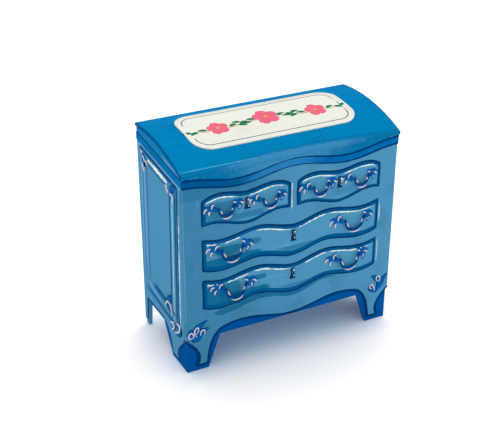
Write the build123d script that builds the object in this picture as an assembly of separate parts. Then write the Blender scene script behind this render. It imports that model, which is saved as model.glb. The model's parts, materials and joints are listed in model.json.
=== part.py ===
from build123d import *
import os
from math import cos, pi, sqrt

# A hand-sized painted dresser, in millimetres: a flat carcass on curved feet under a bowed top, with two
# small drawers over two wide ones and a pair of bail pulls on each. The front faces -Y, +Z is up, and the
# origin is on the floor under the middle of the footprint, pulls included.

# Front, across
OPENING_WIDTH = 91.6  # between the two stiles
STILE_WIDTH = 8.7
DIVIDER_WIDTH = 3.2  # upright between the small drawers

# Front, from the floor up; the drawers share what the rest leaves
FRONT_HEIGHT = 100.4  # to the front edge of the top
FOOT_HEIGHT = 16.75  # to the straight edge between the feet
APRON_HEIGHT = 15.75
LOWER_RAIL_HEIGHT = 4.3
UPPER_RAIL_HEIGHT = 5.8
TOP_RAIL_HEIGHT = 12.4
DRAWER_SHARES = (0.335, 0.357, 0.308)  # lower, middle and small

# Depth and walls
BODY_DEPTH = 49.3
FRAME_THICKNESS = 2.2  # stiles, rails and drawer fronts
OVERLAY = 0.6  # what the front and side frames stand proud of the feet
SIDE_THICKNESS = 1.8
BACK_THICKNESS = 1.5
BOARD_THICKNESS = 1.5
BLOCK_SIZE = 4.5  # corner blocks under the bottom board

# Bowed top
TOP_THICKNESS = 1.2
TOP_RISE = 7.3  # from the front edge up to the crest
TOP_CREST_SETBACK = 36.7  # the crest, behind the front face
TOP_OVERHANG = 0.7  # past the front and the sides

# Cloth panel laid on the top, with a bead round its edge
INLAY_LENGTH = 83.0
INLAY_WIDTH = 32.0
INLAY_SETBACK = 27.0  # its middle, behind the front face
INLAY_CORNER = 9.0
INLAY_THICKNESS = 0.2
INLAY_BEAD_WIDTH = 1.0
INLAY_BEAD_RISE = 0.45

# Feet: their width on the floor, and where their slanted edge ends at the top of the arch
FOOT_WIDTH = 11.5
FOOT_SPREAD = 17.4
SIDE_FOOT_WIDTH = 17.1
SIDE_FOOT_SPREAD = 26.6
REAR_FOOT_WIDTH = 2.6
REAR_FOOT_SPREAD = 4.2
SIDE_ARCH_HEIGHT = 14.5
FOOT_BOARD_LAP = 8.0  # foot board behind the apron, above the arch

# Curved legs laid over the feet
KNEE_LIFT = 1.0  # where the leg leaves the corner, above the arch
TOE_HEIGHT = 3.0
TOE_FLARE = 1.3
LEG_MARGIN = 3.2  # foot that shows beside the leg
SIDE_LEG_MARGIN = 5.6
ANKLE_WIDTH = 4.6
SIDE_ANKLE_WIDTH = 6.8
LEG_BENDS = ((0.84, 0.5), (0.61, 0.9))  # share of the foot's height, and of the way in to the ankle
ANKLE_LEVEL = 0.37  # share of the foot's height
INNER_LEVELS = (0.57, 0.97)  # where the leg's inner edge keeps its whole margin, as shares of the same height
ANKLE_MARGIN = 0.8  # share of the margin left at the ankle
TOE_MARGIN = 0.6
SHOULDER = 3.15  # where the leg runs into the apron, above the arch
SIDE_SKIRT = 2.2  # strip of side panel that shows under the side frame

# Waves, from the middle outwards: share of the half width, and height above the nominal line
WIDE_WAVE = ((0, -3.0), (0.37, 0.6), (0.71, -1.6), (1, 0))
SMALL_TOP_WAVE = ((0, -0.8), (0.5, 0.9), (0.86, 0), (1, -1.8))
SMALL_BOTTOM_WAVE = ((0, -2.9), (0.5, -0.4), (1, 0))
APRON_WAVE = ((0, -1.9), (0.64, 1.9), (1, 0))

# Crown strip and band under the top
CROWN_DROP = 4.3  # mean line of the crown's wavy edge, below the front edge of the top
CROWN_WAVE = 1.8
CROWN_STEPS = 16  # steps the wave is drawn in
CROWN_RISE = 0.45
BAND_HEIGHT = 3.5
BAND_RISE = 0.3
SIDE_BAND_CLIMB = 4.5  # from front to back

# Frame round the inset field of each side
RING_FRONT = 5.3
RING_REAR = 4.0
RING_DROP = 7.5  # below the front edge of the top, at the ring's front end
RING_LIFT = 2.4  # above the side frame's lower edge, at the ring's front end
RING_CLIMB = 4.2  # from its front end to its rear end
RING_LEAN = 1.7  # how far its lower corners lie behind its upper ones
RING_FRONT_WIDTH = 9.3
RING_REAR_WIDTH = 5.3
RING_BOTTOM_WIDTH = 7.5
RING_TOP_WIDTH = 6.6
RING_BEVEL = 1.4
RING_RISE = 0.4

# Drawers
FIELD_RISE = 0.5
BEVEL = 1.9
BOX_INSET = 1.0  # from the side of the opening
BOX_WALL = 1.5
BOX_FLOOR = 1.0
GUIDE_HEIGHT = 5.0
STOP_LENGTH = 2.0
STOP_WIDTH = 6.0
STOP_HEIGHT = 3.5

# Bail pulls
SMALL_PULL_SHARE = 0.489  # distance between a drawer's two pulls, as a share of its width
MIDDLE_PULL_SHARE = 0.694
LOWER_PULL_SHARE = 0.655
PIVOT_LIFT = 0.9  # above the middle of the drawer front
PIVOT_STANDOFF = 1.5  # in front of the drawer's field
SMALL_BAIL_WIDTH = 7.2
WIDE_BAIL_WIDTH = 10.0
BAIL_DROP = 0.54  # as a share of its width
WIRE_DIAMETER = 1.2
BALL_DIAMETER = 1.5
PIN_DIAMETER = 0.7
POST_DIAMETER = 1.7
MOUNT_THICKNESS = 0.5
ROSETTE_DIAMETER = 2.6
MOUNT_LEAVES = ((185, 0.37, 0.2), (232, 0.36, 0.2), (120, 0.31, 0.18))  # angle, and shares of a bail's width

# Keyhole plates
KEYHOLE_HEIGHT = 5.6
KEYHOLE_HEAD = 2.3
KEYHOLE_SKIRT = 2.7
KEYHOLE_NECK = 1.1
KEYHOLE_THICKNESS = 0.35
KEYHOLE_BORE = 0.9
KEYHOLE_SLOT = 0.5
KEYHOLE_DROP = 0.4  # below the middle of a wide front
SMALL_KEYHOLE_LIFT = 0.4

# Leaf ornaments
ORNAMENT_THICKNESS = 0.45
LEAF_BELLY = 0.45  # widest place of a leaf, as a share of its length
FOOT_LEAF_PLACE = (3.6, 1.4)  # from the corner, and above the arch
FOOT_LEAVES = ((22, 8.6, 3.0), (48, 10.2, 3.4), (88, 5.6, 2.8))
SIDE_FOOT_LEAF_PLACE = (8.0, 0.4)
SIDE_FOOT_LEAVES = ((20, 6.6, 2.4), (52, 4.6, 2.2), (130, 3.8, 2.2))
RING_LEAF_LENGTH = 5.6
RING_LEAF_WIDTH = 2.4
RING_LEAF_INSET = 2.4  # from the outer edges of the ring's corner

# Clearances
GLUE_GAP = 0.05  # under the bowed top
DRAWER_GAP = 0.25  # round a drawer front in its opening
BOX_CLEARANCE = 0.5  # a drawer box and the narrowest part of its opening
RUN_GAP = 0.15  # under and beside a drawer box
STOP_GAP = 0.2
PIN_CLEARANCE = 0.05

# Places that follow from the sizes
x_out = OPENING_WIDTH / 2 + STILE_WIDTH
x_base = x_out - OVERLAY
x_inner = x_base - SIDE_THICKNESS
pull_reach = FIELD_RISE + PIVOT_STANDOFF + POST_DIAMETER / 2
y_front = (pull_reach - BODY_DEPTH) / 2
y_field = y_front - FIELD_RISE
y_pivot = y_field - PIVOT_STANDOFF
y_frame = y_front + FRAME_THICKNESS
y_back = y_front + BODY_DEPTH
y_inner = y_back - BACK_THICKNESS
y_box = y_inner - STOP_LENGTH - STOP_GAP
z_shoulder = FOOT_HEIGHT + SHOULDER
z_foot_board = FOOT_HEIGHT + FOOT_BOARD_LAP
z_lower = FOOT_HEIGHT + APRON_HEIGHT
z_edge = FRONT_HEIGHT
z_small_top = z_edge - TOP_RAIL_HEIGHT
drawer_room = z_small_top - z_lower - LOWER_RAIL_HEIGHT - UPPER_RAIL_HEIGHT
drawer_heights = [share / sum(DRAWER_SHARES) * drawer_room for share in DRAWER_SHARES]
z_lower_top = z_lower + drawer_heights[0]
z_middle = z_lower_top + LOWER_RAIL_HEIGHT
z_middle_top = z_middle + drawer_heights[1]
z_small = z_middle_top + UPPER_RAIL_HEIGHT
z_skirt = SIDE_ARCH_HEIGHT + SIDE_SKIRT
z_crown = z_edge - CROWN_DROP
z_above = z_edge + 2 * TOP_RISE
top_radius = (TOP_CREST_SETBACK**2 + TOP_RISE**2) / (2 * TOP_RISE)
crest_y = y_front + TOP_CREST_SETBACK
arc_z = z_edge + TOP_RISE - top_radius


# Helpers
def front_slab(face, y_rear, thickness):
    """A face drawn in X and Z, as a slab that reaches forward from y_rear by its thickness."""
    return extrude(Plane((0, y_rear, 0), x_dir=(1, 0, 0), z_dir=(0, -1, 0)) * face, thickness)


def side_slab(face, x_start, thickness):
    """A face drawn in Y and Z, as a slab from x_start towards +X."""
    return extrude(Plane.YZ.offset(x_start) * face, thickness)


def block(x, y, z):
    """A box between two places on each axis."""
    size = [high - low for low, high in (x, y, z)]
    return Pos(x[0], y[0], z[0]) * Box(*size, align=(Align.MIN, Align.MIN, Align.MIN))


def polygon(*points):
    """A face with straight edges through the points."""
    return make_face(Polyline(*points, close=True))


def wave_points(wave, x_left, x_right, z):
    """Points of a symmetric wave between two places, from left to right."""
    middle, half = (x_left + x_right) / 2, (x_right - x_left) / 2
    right = [(middle + share * half, z + rise) for share, rise in wave]
    left = [(2 * middle - x, height) for x, height in right[:0:-1]]
    return left + right


def between_waves(below, above):
    """A face between two runs of points or curves, each from left to right, closed by upright edges."""
    bottom = [Spline(*run) if len(run) > 2 else Line(*run) for run in below]
    top = [Spline(*run) if len(run) > 2 else Line(*run) for run in above]
    left = Line(below[0][0], above[0][0])
    right = Line(below[-1][-1], above[-1][-1])
    return make_face([*bottom, right, *top, left])


def arc_height(y, radius):
    """Height of the bowed top's arc of that radius at y."""
    return arc_z + sqrt(radius**2 - (y - crest_y) ** 2)


def bow_face(y_start, y_end, radius, z_end):
    """A face in Y and Z between the arc of that radius and a level above or below it."""
    y_mid = (y_start + y_end) / 2
    start, middle, end = [(y, arc_height(y, radius)) for y in (y_start, y_mid, y_end)]
    sides = Polyline(end, (y_end, z_end), (y_start, z_end), start)
    return make_face([ThreePointArc(start, middle, end), sides])


def over_top():
    """What lies above the underside of the bowed top, for trimming the pieces that carry it."""
    radius = top_radius - TOP_THICKNESS - GLUE_GAP
    margin = 2 * TOP_OVERHANG + CROWN_RISE
    face = bow_face(y_front - margin, y_back + margin, radius, z_above + TOP_RISE)
    return side_slab(face, -x_out - margin, 2 * (x_out + margin))


def leg_edges(width, spread, height, margin, ankle, start, shoulder):
    """Outer and inner edge of a curved leg on a foot, as distances from the corner and heights."""

    def foot_edge(share):
        return width + (spread - width) * share

    ankle_place = foot_edge(ANKLE_LEVEL) - ANKLE_MARGIN * margin - ankle
    outer = [
        (start, FOOT_HEIGHT + KNEE_LIFT),
        *[(start + way * (ankle_place - start), level * height) for level, way in LEG_BENDS],
        (ankle_place, ANKLE_LEVEL * height),
        (ankle_place - TOE_FLARE, TOE_HEIGHT),
    ]
    inner = [
        (foot_edge(TOE_HEIGHT / height) - TOE_MARGIN * margin, TOE_HEIGHT),
        *[(foot_edge(level) - margin, level * height) for level in INNER_LEVELS],
        (spread, shoulder),
    ]
    return outer, inner


def leaf_spray(leaves, root):
    """A face of pointed leaves that fan out from a round root, at their angles, lengths and widths."""
    spray = Circle(root / 2)
    for angle, length, width in leaves:
        belly, tip = LEAF_BELLY * length, (length, 0)
        upper_edge = ThreePointArc((0, 0), (belly, width / 2), tip)
        lower_edge = ThreePointArc(tip, (belly, -width / 2), (0, 0))
        spray += Rot(0, 0, angle) * make_face([upper_edge, lower_edge])
    return spray


def save(name, *shapes):
    """Writes a node with all the solids of the shapes."""
    solids = [solid for shape in shapes for solid in shape.solids()]
    export_step(solids[0] if len(solids) == 1 else Compound(solids), f"parts/{name}.step")


def mirrored(shape):
    return mirror(shape, about=Plane.YZ)


# Openings of the four drawers, with the waves of their fronts
class Opening:
    def __init__(self, name, x, z, waves, pull_share, bail_width, keyhole_lift):
        self.name = name
        (self.x_left, self.x_right), (self.z_bottom, self.z_top) = x, z
        self.bottom_wave, self.top_wave = waves
        self.x_middle = (self.x_left + self.x_right) / 2
        self.z_middle = (self.z_bottom + self.z_top) / 2
        reach = pull_share * (self.x_right - self.x_left) / 2
        self.pull_places = [self.x_middle - reach, self.x_middle + reach]
        self.bail_width = bail_width
        self.z_keyhole = self.z_middle + keyhole_lift
        bottom, top = [Spline(*edge).bounding_box() for edge in self.edges(0)]
        self.z_box = bottom.max.Y + BOX_CLEARANCE
        self.z_box_top = top.min.Y - BOX_CLEARANCE
        self.z_board = self.z_box - RUN_GAP
        self.x_box = (self.x_left + BOX_INSET, self.x_right - BOX_INSET)

    def edges(self, inset):
        """Points of the lower and the upper edge, set in from the opening."""
        left, right = self.x_left + inset, self.x_right - inset
        bottom = wave_points(self.bottom_wave, left, right, self.z_bottom + inset)
        top = wave_points(self.top_wave, left, right, self.z_top - inset)
        return bottom, top

    def outline(self, inset):
        """The drawer front's outline, set in from the opening."""
        bottom, top = self.edges(inset)
        return between_waves([bottom], [top])


half_opening, half_divider = OPENING_WIDTH / 2, DIVIDER_WIDTH / 2
wide, wide_waves = (-half_opening, half_opening), (WIDE_WAVE, WIDE_WAVE)
small, small_waves = (z_small, z_small_top), (SMALL_BOTTOM_WAVE, SMALL_TOP_WAVE)
small_places = {"small_left": (-half_opening, -half_divider), "small_right": (half_divider, half_opening)}
small_left, small_right = [
    Opening(name, x, small, small_waves, SMALL_PULL_SHARE, SMALL_BAIL_WIDTH, SMALL_KEYHOLE_LIFT)
    for name, x in small_places.items()
]
middle, lower = [
    Opening(name, wide, z, wide_waves, pull_share, WIDE_BAIL_WIDTH, -KEYHOLE_DROP)
    for name, z, pull_share in (
        ("middle", (z_middle, z_middle_top), MIDDLE_PULL_SHARE),
        ("lower", (z_lower, z_lower_top), LOWER_PULL_SHARE),
    )
]


# Carcass
def foot_board():
    """Board behind the apron and the legs, whose feet show beside the legs."""
    low, high = x_out - FOOT_WIDTH, x_out - FOOT_SPREAD
    arch = polygon((-low, 0), (-high, FOOT_HEIGHT), (high, FOOT_HEIGHT), (low, 0))
    face = polygon((-x_base, 0), (x_base, 0), (x_base, z_foot_board), (-x_base, z_foot_board)) - arch
    return front_slab(face, y_frame, FRAME_THICKNESS - OVERLAY)


def left_stile():
    """Upright that runs down into a curved leg, half lapped over the foot board."""
    outer, inner = leg_edges(FOOT_WIDTH, FOOT_SPREAD, FOOT_HEIGHT, LEG_MARGIN, ANKLE_WIDTH, 0, z_shoulder)
    outer = [(distance - x_out, z) for distance, z in outer]
    inner = [(distance - x_out, z) for distance, z in inner]
    head = [(-half_opening, z_above), (-x_out, z_above)]
    upright = Polyline(inner[-1], (-half_opening, z_shoulder), *head, outer[0])
    face = make_face([Spline(*outer), Line(outer[-1], inner[0]), Spline(*inner), upright])
    return front_slab(face, y_frame, FRAME_THICKNESS) - foot_board() - over_top()


def apron():
    """Lowest rail, with a wavy edge that runs out on the legs' shoulders, half lapped over the foot board."""
    half_span = x_out - FOOT_SPREAD
    wave = wave_points(APRON_WAVE, -half_span, half_span, z_shoulder)
    below = [[(-half_opening, z_shoulder), wave[0]], wave, [wave[-1], (half_opening, z_shoulder)]]
    above = [wave_points(WIDE_WAVE, -half_opening, half_opening, z_lower)]
    return front_slab(between_waves(below, above), y_frame, FRAME_THICKNESS) - foot_board()


def rail(below, above):
    return front_slab(between_waves(below, above), y_frame, FRAME_THICKNESS)


def small_edges(wave, z):
    """Edges of both small openings on one level, with the divider's end between them."""
    left = wave_points(wave, -half_opening, -half_divider, z)
    right = wave_points(wave, half_divider, half_opening, z)
    return [left, [left[-1], right[0]], right]


def wide_edge(z):
    return [wave_points(WIDE_WAVE, -half_opening, half_opening, z)]


def top_rail():
    above = [[(-half_opening, z_above), (half_opening, z_above)]]
    return rail(small_edges(SMALL_TOP_WAVE, z_small_top), above) - over_top()


def divider():
    z = (z_small + SMALL_BOTTOM_WAVE[-1][1], z_small_top + SMALL_TOP_WAVE[-1][1])
    return block((-half_divider, half_divider), (y_front, y_frame), z)


def crown_edge(z):
    """Points of the crown's wave: two full waves across the front, with crests at its middle and ends."""
    reach = x_out + BAND_RISE
    places = [reach * (2 * step / CROWN_STEPS - 1) for step in range(CROWN_STEPS + 1)]
    return [(x, z + CROWN_WAVE * cos(2 * pi * x / reach)) for x in places]


def front_crown():
    reach = x_out + BAND_RISE
    above = [[(-reach, z_above), (reach, z_above)]]
    return front_slab(between_waves([crown_edge(z_crown)], above), y_front, CROWN_RISE) - over_top()


def front_band():
    face = between_waves([crown_edge(z_crown - BAND_HEIGHT)], [crown_edge(z_crown)])
    return front_slab(face, y_front, BAND_RISE)


def left_band():
    """Band that climbs from the front band's end towards the back."""
    high = z_crown + CROWN_WAVE
    low, climb = high - BAND_HEIGHT, SIDE_BAND_CLIMB
    face = polygon((y_front, low), (y_back, low + climb), (y_back, high + climb), (y_front, high))
    return side_slab(face, -x_out - BAND_RISE, BAND_RISE)


def left_side_panel():
    """Side board with an arch between a wide front foot and a slim rear foot."""
    arch = polygon(
        (y_front + SIDE_FOOT_WIDTH, 0),
        (y_front + SIDE_FOOT_SPREAD, SIDE_ARCH_HEIGHT),
        (y_back - REAR_FOOT_SPREAD, SIDE_ARCH_HEIGHT),
        (y_back - REAR_FOOT_WIDTH, 0),
    )
    face = polygon((y_frame, 0), (y_back, 0), (y_back, z_above), (y_frame, z_above)) - arch
    return side_slab(face, -x_base, SIDE_THICKNESS) - over_top()


def ring_places():
    """Near and far end, and bottom and top at the near end, of the frame round a side's inset field."""
    return (y_front + RING_FRONT, y_back - RING_REAR), (z_skirt + RING_LIFT, z_edge - RING_DROP)


def ring_point(y, z):
    """A place on the ring, whose arms climb to the rear and whose ends lean to the rear at the bottom."""
    (near, far), (low, high) = ring_places()
    lean = RING_LEAN * (high - z) / (high - low)
    climb = RING_CLIMB * (y - near) / (far - near)
    return y + lean, z + climb


def ring_face(front=0, rear=0, bottom=0, top=0):
    """The ring's outline, set in by its own distance from both ends, the bottom and the top."""
    (near, far), (low, high) = ring_places()
    near, far, low, high = near + front, far - rear, low + bottom, high - top
    corners = (near, low), (far, low), (far, high), (near, high)
    return polygon(*[ring_point(y, z) for y, z in corners])


def left_side_frame():
    """Thin frame laid on the side board, open for the ring, with a curved front leg."""
    start = FRAME_THICKNESS
    outer, inner = leg_edges(
        SIDE_FOOT_WIDTH, SIDE_FOOT_SPREAD, SIDE_ARCH_HEIGHT, SIDE_LEG_MARGIN, SIDE_ANKLE_WIDTH, start, z_skirt
    )
    outer = [(y_front + distance, z) for distance, z in outer]
    inner = [(y_front + distance, z) for distance, z in inner]
    rest = Polyline(
        inner[-1],
        (y_back - REAR_FOOT_SPREAD, z_skirt),
        (y_back - REAR_FOOT_WIDTH, TOE_HEIGHT),
        (y_back, TOE_HEIGHT),
        (y_back, z_above),
        (y_frame, z_above),
        outer[0],
    )
    face = make_face([Spline(*outer), Line(outer[-1], inner[0]), Spline(*inner), rest])
    return side_slab(face - ring_face(), -x_out, OVERLAY) - over_top()


def left_side_moulding():
    """Ring with a bevelled inner edge in the side frame's opening."""
    depth = OVERLAY + RING_RISE
    ring = side_slab(ring_face(), -x_base - depth, depth)
    widths = RING_FRONT_WIDTH, RING_REAR_WIDTH, RING_BOTTOM_WIDTH, RING_TOP_WIDTH

    def hole(x, margin):
        return Plane.YZ.offset(x) * ring_face(*[width - margin for width in widths])

    return ring - loft([hole(-x_base, 0), hole(-x_base - depth, RING_BEVEL)], ruled=True)


def back_panel():
    """Board between the sides, whose rear feet alone reach the floor."""
    return block((-x_inner, x_inner), (y_inner, y_back), (FOOT_HEIGHT, z_above)) - over_top()


def top_panel():
    y_start = y_front - TOP_OVERHANG
    low, high = [
        [(y, arc_height(y, radius)) for y in (y_start, (y_start + y_back) / 2, y_back)]
        for radius in (top_radius - TOP_THICKNESS, top_radius)
    ]
    ends = [Line(low[0], high[0]), Line(low[2], high[2])]
    face = make_face([ThreePointArc(*low), ThreePointArc(*high), *ends])
    reach = x_out + TOP_OVERHANG
    return side_slab(face, -reach, 2 * reach)


def top_inlay():
    """Bowed sheet with round corners that lies on the top, with a raised bead round it."""
    y_middle = y_front + INLAY_SETBACK

    def sheet(inset, radius_start, radius_end):
        width, length = INLAY_WIDTH - 2 * inset, INLAY_LENGTH - 2 * inset
        outline = Pos(0, y_middle) * RectangleRounded(length, width, INLAY_CORNER - inset)
        column = extrude(Plane.XY.offset(z_edge) * outline, 2 * TOP_RISE)
        start, end = y_middle - INLAY_WIDTH, y_back
        low, high = [bow_face(start, end, radius, arc_z) for radius in (radius_start, radius_end)]
        return column & side_slab(high - low, -INLAY_LENGTH, 2 * INLAY_LENGTH)

    panel = sheet(0, top_radius, top_radius + INLAY_THICKNESS)
    bead = sheet(0, top_radius, top_radius + INLAY_BEAD_RISE)
    bead -= sheet(INLAY_BEAD_WIDTH, top_radius, top_radius + INLAY_BEAD_RISE)
    return panel + bead


def board(opening):
    """Board that carries the drawers on one level."""
    z = (opening.z_board - BOARD_THICKNESS, opening.z_board)
    return block((-x_inner, x_inner), (y_frame, y_inner), z)


def guides(opening):
    """Strips beside the drawers on one level, from their boxes to the sides."""
    x = half_opening - BOX_INSET + RUN_GAP
    strip = block((x, x_inner), (y_frame, y_inner), (opening.z_board, opening.z_board + GUIDE_HEIGHT))
    return [strip, mirrored(strip)]


def partition():
    reach = half_divider + BOX_INSET - RUN_GAP
    return block((-reach, reach), (y_frame, y_inner), (small_left.z_board, small_left.z_box_top))


def stops(opening):
    """Blocks on the board behind a drawer, one in line with each pull."""
    z = (opening.z_board, opening.z_board + STOP_HEIGHT)
    return [
        block((x - STOP_WIDTH / 2, x + STOP_WIDTH / 2), (y_inner - STOP_LENGTH, y_inner), z)
        for x in opening.pull_places
    ]


def corner_blocks():
    """Blocks that tie the feet to the underside of the bottom board."""
    x, z = (x_inner - BLOCK_SIZE, x_inner), (FOOT_HEIGHT, lower.z_board - BOARD_THICKNESS)
    right = [block(x, y, z) for y in ((y_frame, y_frame + BLOCK_SIZE), (y_inner - BLOCK_SIZE, y_inner))]
    return right + [mirrored(corner) for corner in right]


def front_leaves():
    """Leaf sprays on the stiles above the feet."""
    distance, lift = FOOT_LEAF_PLACE
    spray = Pos(distance - x_out, FOOT_HEIGHT + lift) * leaf_spray(FOOT_LEAVES, FOOT_LEAVES[0][2])
    left = front_slab(spray, y_front, ORNAMENT_THICKNESS)
    return [left, mirrored(left)]


def left_side_leaves():
    """Leaf spray above the front foot, and a pair of leaves on three corners of the ring."""
    distance, lift = SIDE_FOOT_LEAF_PLACE
    spray = leaf_spray(SIDE_FOOT_LEAVES, SIDE_FOOT_LEAVES[0][2])
    spray = Pos(y_front + distance, SIDE_ARCH_HEIGHT + lift) * spray
    leaves = [side_slab(spray, -x_out - ORNAMENT_THICKNESS, ORNAMENT_THICKNESS)]
    (near, far), (low, high) = ring_places()
    near, far = near + RING_LEAF_INSET, far - RING_LEAF_INSET
    low, high = low + RING_LEAF_INSET, high - RING_LEAF_INSET
    for y, z, turn in ((near, low, 0), (near, high, -90), (far, high, 180)):
        pair = [(turn + angle, RING_LEAF_LENGTH, RING_LEAF_WIDTH) for angle in (0, 90)]
        corner = Pos(*ring_point(y, z)) * leaf_spray(pair, RING_LEAF_WIDTH)
        leaves.append(side_slab(corner, -x_out - RING_RISE - ORNAMENT_THICKNESS, ORNAMENT_THICKNESS))
    return leaves


# Drawers
def drawer_front(opening):
    """Plate that fills the opening, with a field raised on a bevel all round."""
    outer, inner = opening.outline(DRAWER_GAP), opening.outline(DRAWER_GAP + BEVEL)
    face_plane = Plane((0, y_front, 0), x_dir=(1, 0, 0), z_dir=(0, -1, 0))
    field = loft([face_plane * outer, face_plane.offset(FIELD_RISE) * inner], ruled=True)
    return front_slab(outer, y_frame, FRAME_THICKNESS) + field


def drawer_sides(opening):
    left, right = opening.x_box
    y, z = (y_frame, y_box), (opening.z_box, opening.z_box_top)
    return [block((left, left + BOX_WALL), y, z), block((right - BOX_WALL, right), y, z)]


def drawer_back(opening):
    left, right = opening.x_box
    z = (opening.z_box, opening.z_box_top)
    return block((left + BOX_WALL, right - BOX_WALL), (y_box - BOX_WALL, y_box), z)


def drawer_bottom(opening):
    left, right = opening.x_box
    z = (opening.z_box, opening.z_box + BOX_FLOOR)
    return block((left + BOX_WALL, right - BOX_WALL), (y_frame, y_box - BOX_WALL), z)


def keyhole_plate(opening):
    """Plate with a round head and a flared skirt, with a keyhole through it."""
    head = KEYHOLE_HEIGHT / 2 - KEYHOLE_HEAD / 2
    skirt = polygon(
        (-KEYHOLE_SKIRT / 2, -KEYHOLE_HEIGHT / 2),
        (KEYHOLE_SKIRT / 2, -KEYHOLE_HEIGHT / 2),
        (KEYHOLE_NECK / 2, head),
        (-KEYHOLE_NECK / 2, head),
    )
    plate = Pos(0, head) * Circle(KEYHOLE_HEAD / 2) + skirt
    hole = Pos(0, head) * Circle(KEYHOLE_BORE / 2)
    hole += Pos(0, head) * Rectangle(KEYHOLE_SLOT, KEYHOLE_HEIGHT / 2, align=(Align.CENTER, Align.MAX))
    return front_slab(Pos(opening.x_middle, opening.z_keyhole) * (plate - hole), y_field, KEYHOLE_THICKNESS)


def post_place(bail_width):
    """Middle of a post, from the middle of its bail."""
    return bail_width / 2 + BALL_DIAMETER / 2 + RUN_GAP + POST_DIAMETER / 2


def pull_mount(side, bail_width):
    """Leaf plate and bored post for a bail's pin, left (-1) or right (1) of a pivot at X and Z of zero."""
    x = side * post_place(bail_width)
    leaves = [
        (angle if side < 0 else 180 - angle, length * bail_width, width * bail_width)
        for angle, length, width in MOUNT_LEAVES
    ]
    plate = front_slab(Pos(x, 0) * leaf_spray(leaves, ROSETTE_DIAMETER), y_field, MOUNT_THICKNESS)
    post = front_slab(Pos(x, 0) * Circle(POST_DIAMETER / 2), y_field, PIVOT_STANDOFF)
    eye = Pos(x, y_pivot, 0) * Sphere(POST_DIAMETER / 2)
    bore = PIN_DIAMETER / 2 + PIN_CLEARANCE
    hole = Pos(x, y_pivot, 0) * Rot(0, 90, 0) * Cylinder(bore, 2 * POST_DIAMETER)
    return plate + post + eye - hole


def bail(bail_width):
    """Hanging wire loop with a ball and a pin at each end, round the pivot at X and Z of zero."""
    half, drop = bail_width / 2, BAIL_DROP * bail_width
    leg = drop - half
    path = Curve() + [
        Line((-half, y_pivot, 0), (-half, y_pivot, -leg)),
        ThreePointArc((-half, y_pivot, -leg), (0, y_pivot, -drop), (half, y_pivot, -leg)),
        Line((half, y_pivot, -leg), (half, y_pivot, 0)),
    ]
    section = Plane((-half, y_pivot, 0), z_dir=(0, 0, -1)) * Circle(WIRE_DIAMETER / 2)
    loop = sweep(section, path=path)
    pin_length = post_place(bail_width) + POST_DIAMETER / 2 - half
    pin = Rot(0, 90, 0) * Cylinder(PIN_DIAMETER / 2, pin_length)
    for side in (-1, 1):
        loop += Pos(side * half, y_pivot, 0) * Sphere(BALL_DIAMETER / 2)
        loop += Pos(side * (half + pin_length / 2), y_pivot, 0) * pin
    return loop


def write_carcass():
    pairs = {
        "side_panel": left_side_panel,
        "side_frame": left_side_frame,
        "side_moulding": left_side_moulding,
        "stile": left_stile,
    }
    for name, make in pairs.items():
        left = make()
        save(f"left_{name}", left)
        save(f"right_{name}", mirrored(left))
    save("back_panel", back_panel())
    save("top_panel", top_panel())
    save("top_inlay", top_inlay())
    save("top_rail", top_rail())
    save("divider", divider())
    save("upper_rail", rail(wide_edge(z_middle_top), small_edges(SMALL_BOTTOM_WAVE, z_small)))
    save("lower_rail", rail(wide_edge(z_lower_top), wide_edge(z_middle)))
    save("apron", apron())
    save("foot_board", foot_board())
    save("front_crown", front_crown())
    save("front_band", front_band())
    save("side_bands", left_band(), mirrored(left_band()))
    save("bottom_board", board(lower))
    save("lower_dust_board", board(middle))
    save("upper_dust_board", board(small_left))
    save("partition", partition())
    save("drawer_guides", *guides(lower), *guides(middle), *guides(small_left))
    save("drawer_stops", *stops(lower), *stops(middle), *stops(small_left), *stops(small_right))
    save("corner_blocks", *corner_blocks())
    side_leaves = left_side_leaves()
    save("leaf_ornaments", *front_leaves(), *side_leaves, *[mirrored(leaf) for leaf in side_leaves])


def write_drawer(opening):
    name = opening.name
    save(f"{name}_front", drawer_front(opening))
    save(f"{name}_sides", *drawer_sides(opening))
    save(f"{name}_back", drawer_back(opening))
    save(f"{name}_bottom", drawer_bottom(opening))
    save(f"{name}_keyhole_plate", keyhole_plate(opening))
    z_pivot = opening.z_middle + PIVOT_LIFT
    pivots = [Pos(x, 0, z_pivot) for x in opening.pull_places]
    mounts, loop = [pull_mount(side, opening.bail_width) for side in (-1, 1)], bail(opening.bail_width)
    save(f"{name}_pull_mounts", *[pivot * mount for pivot in pivots for mount in mounts])
    for side, pivot in zip(("left", "right"), pivots):
        save(f"{name}_{side}_bail", pivot * loop)


os.makedirs("parts", exist_ok=True)
write_carcass()
for drawer_opening in (small_left, small_right, middle, lower):
    write_drawer(drawer_opening)
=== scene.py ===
import json
from math import cos, pi, radians, sin

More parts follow.
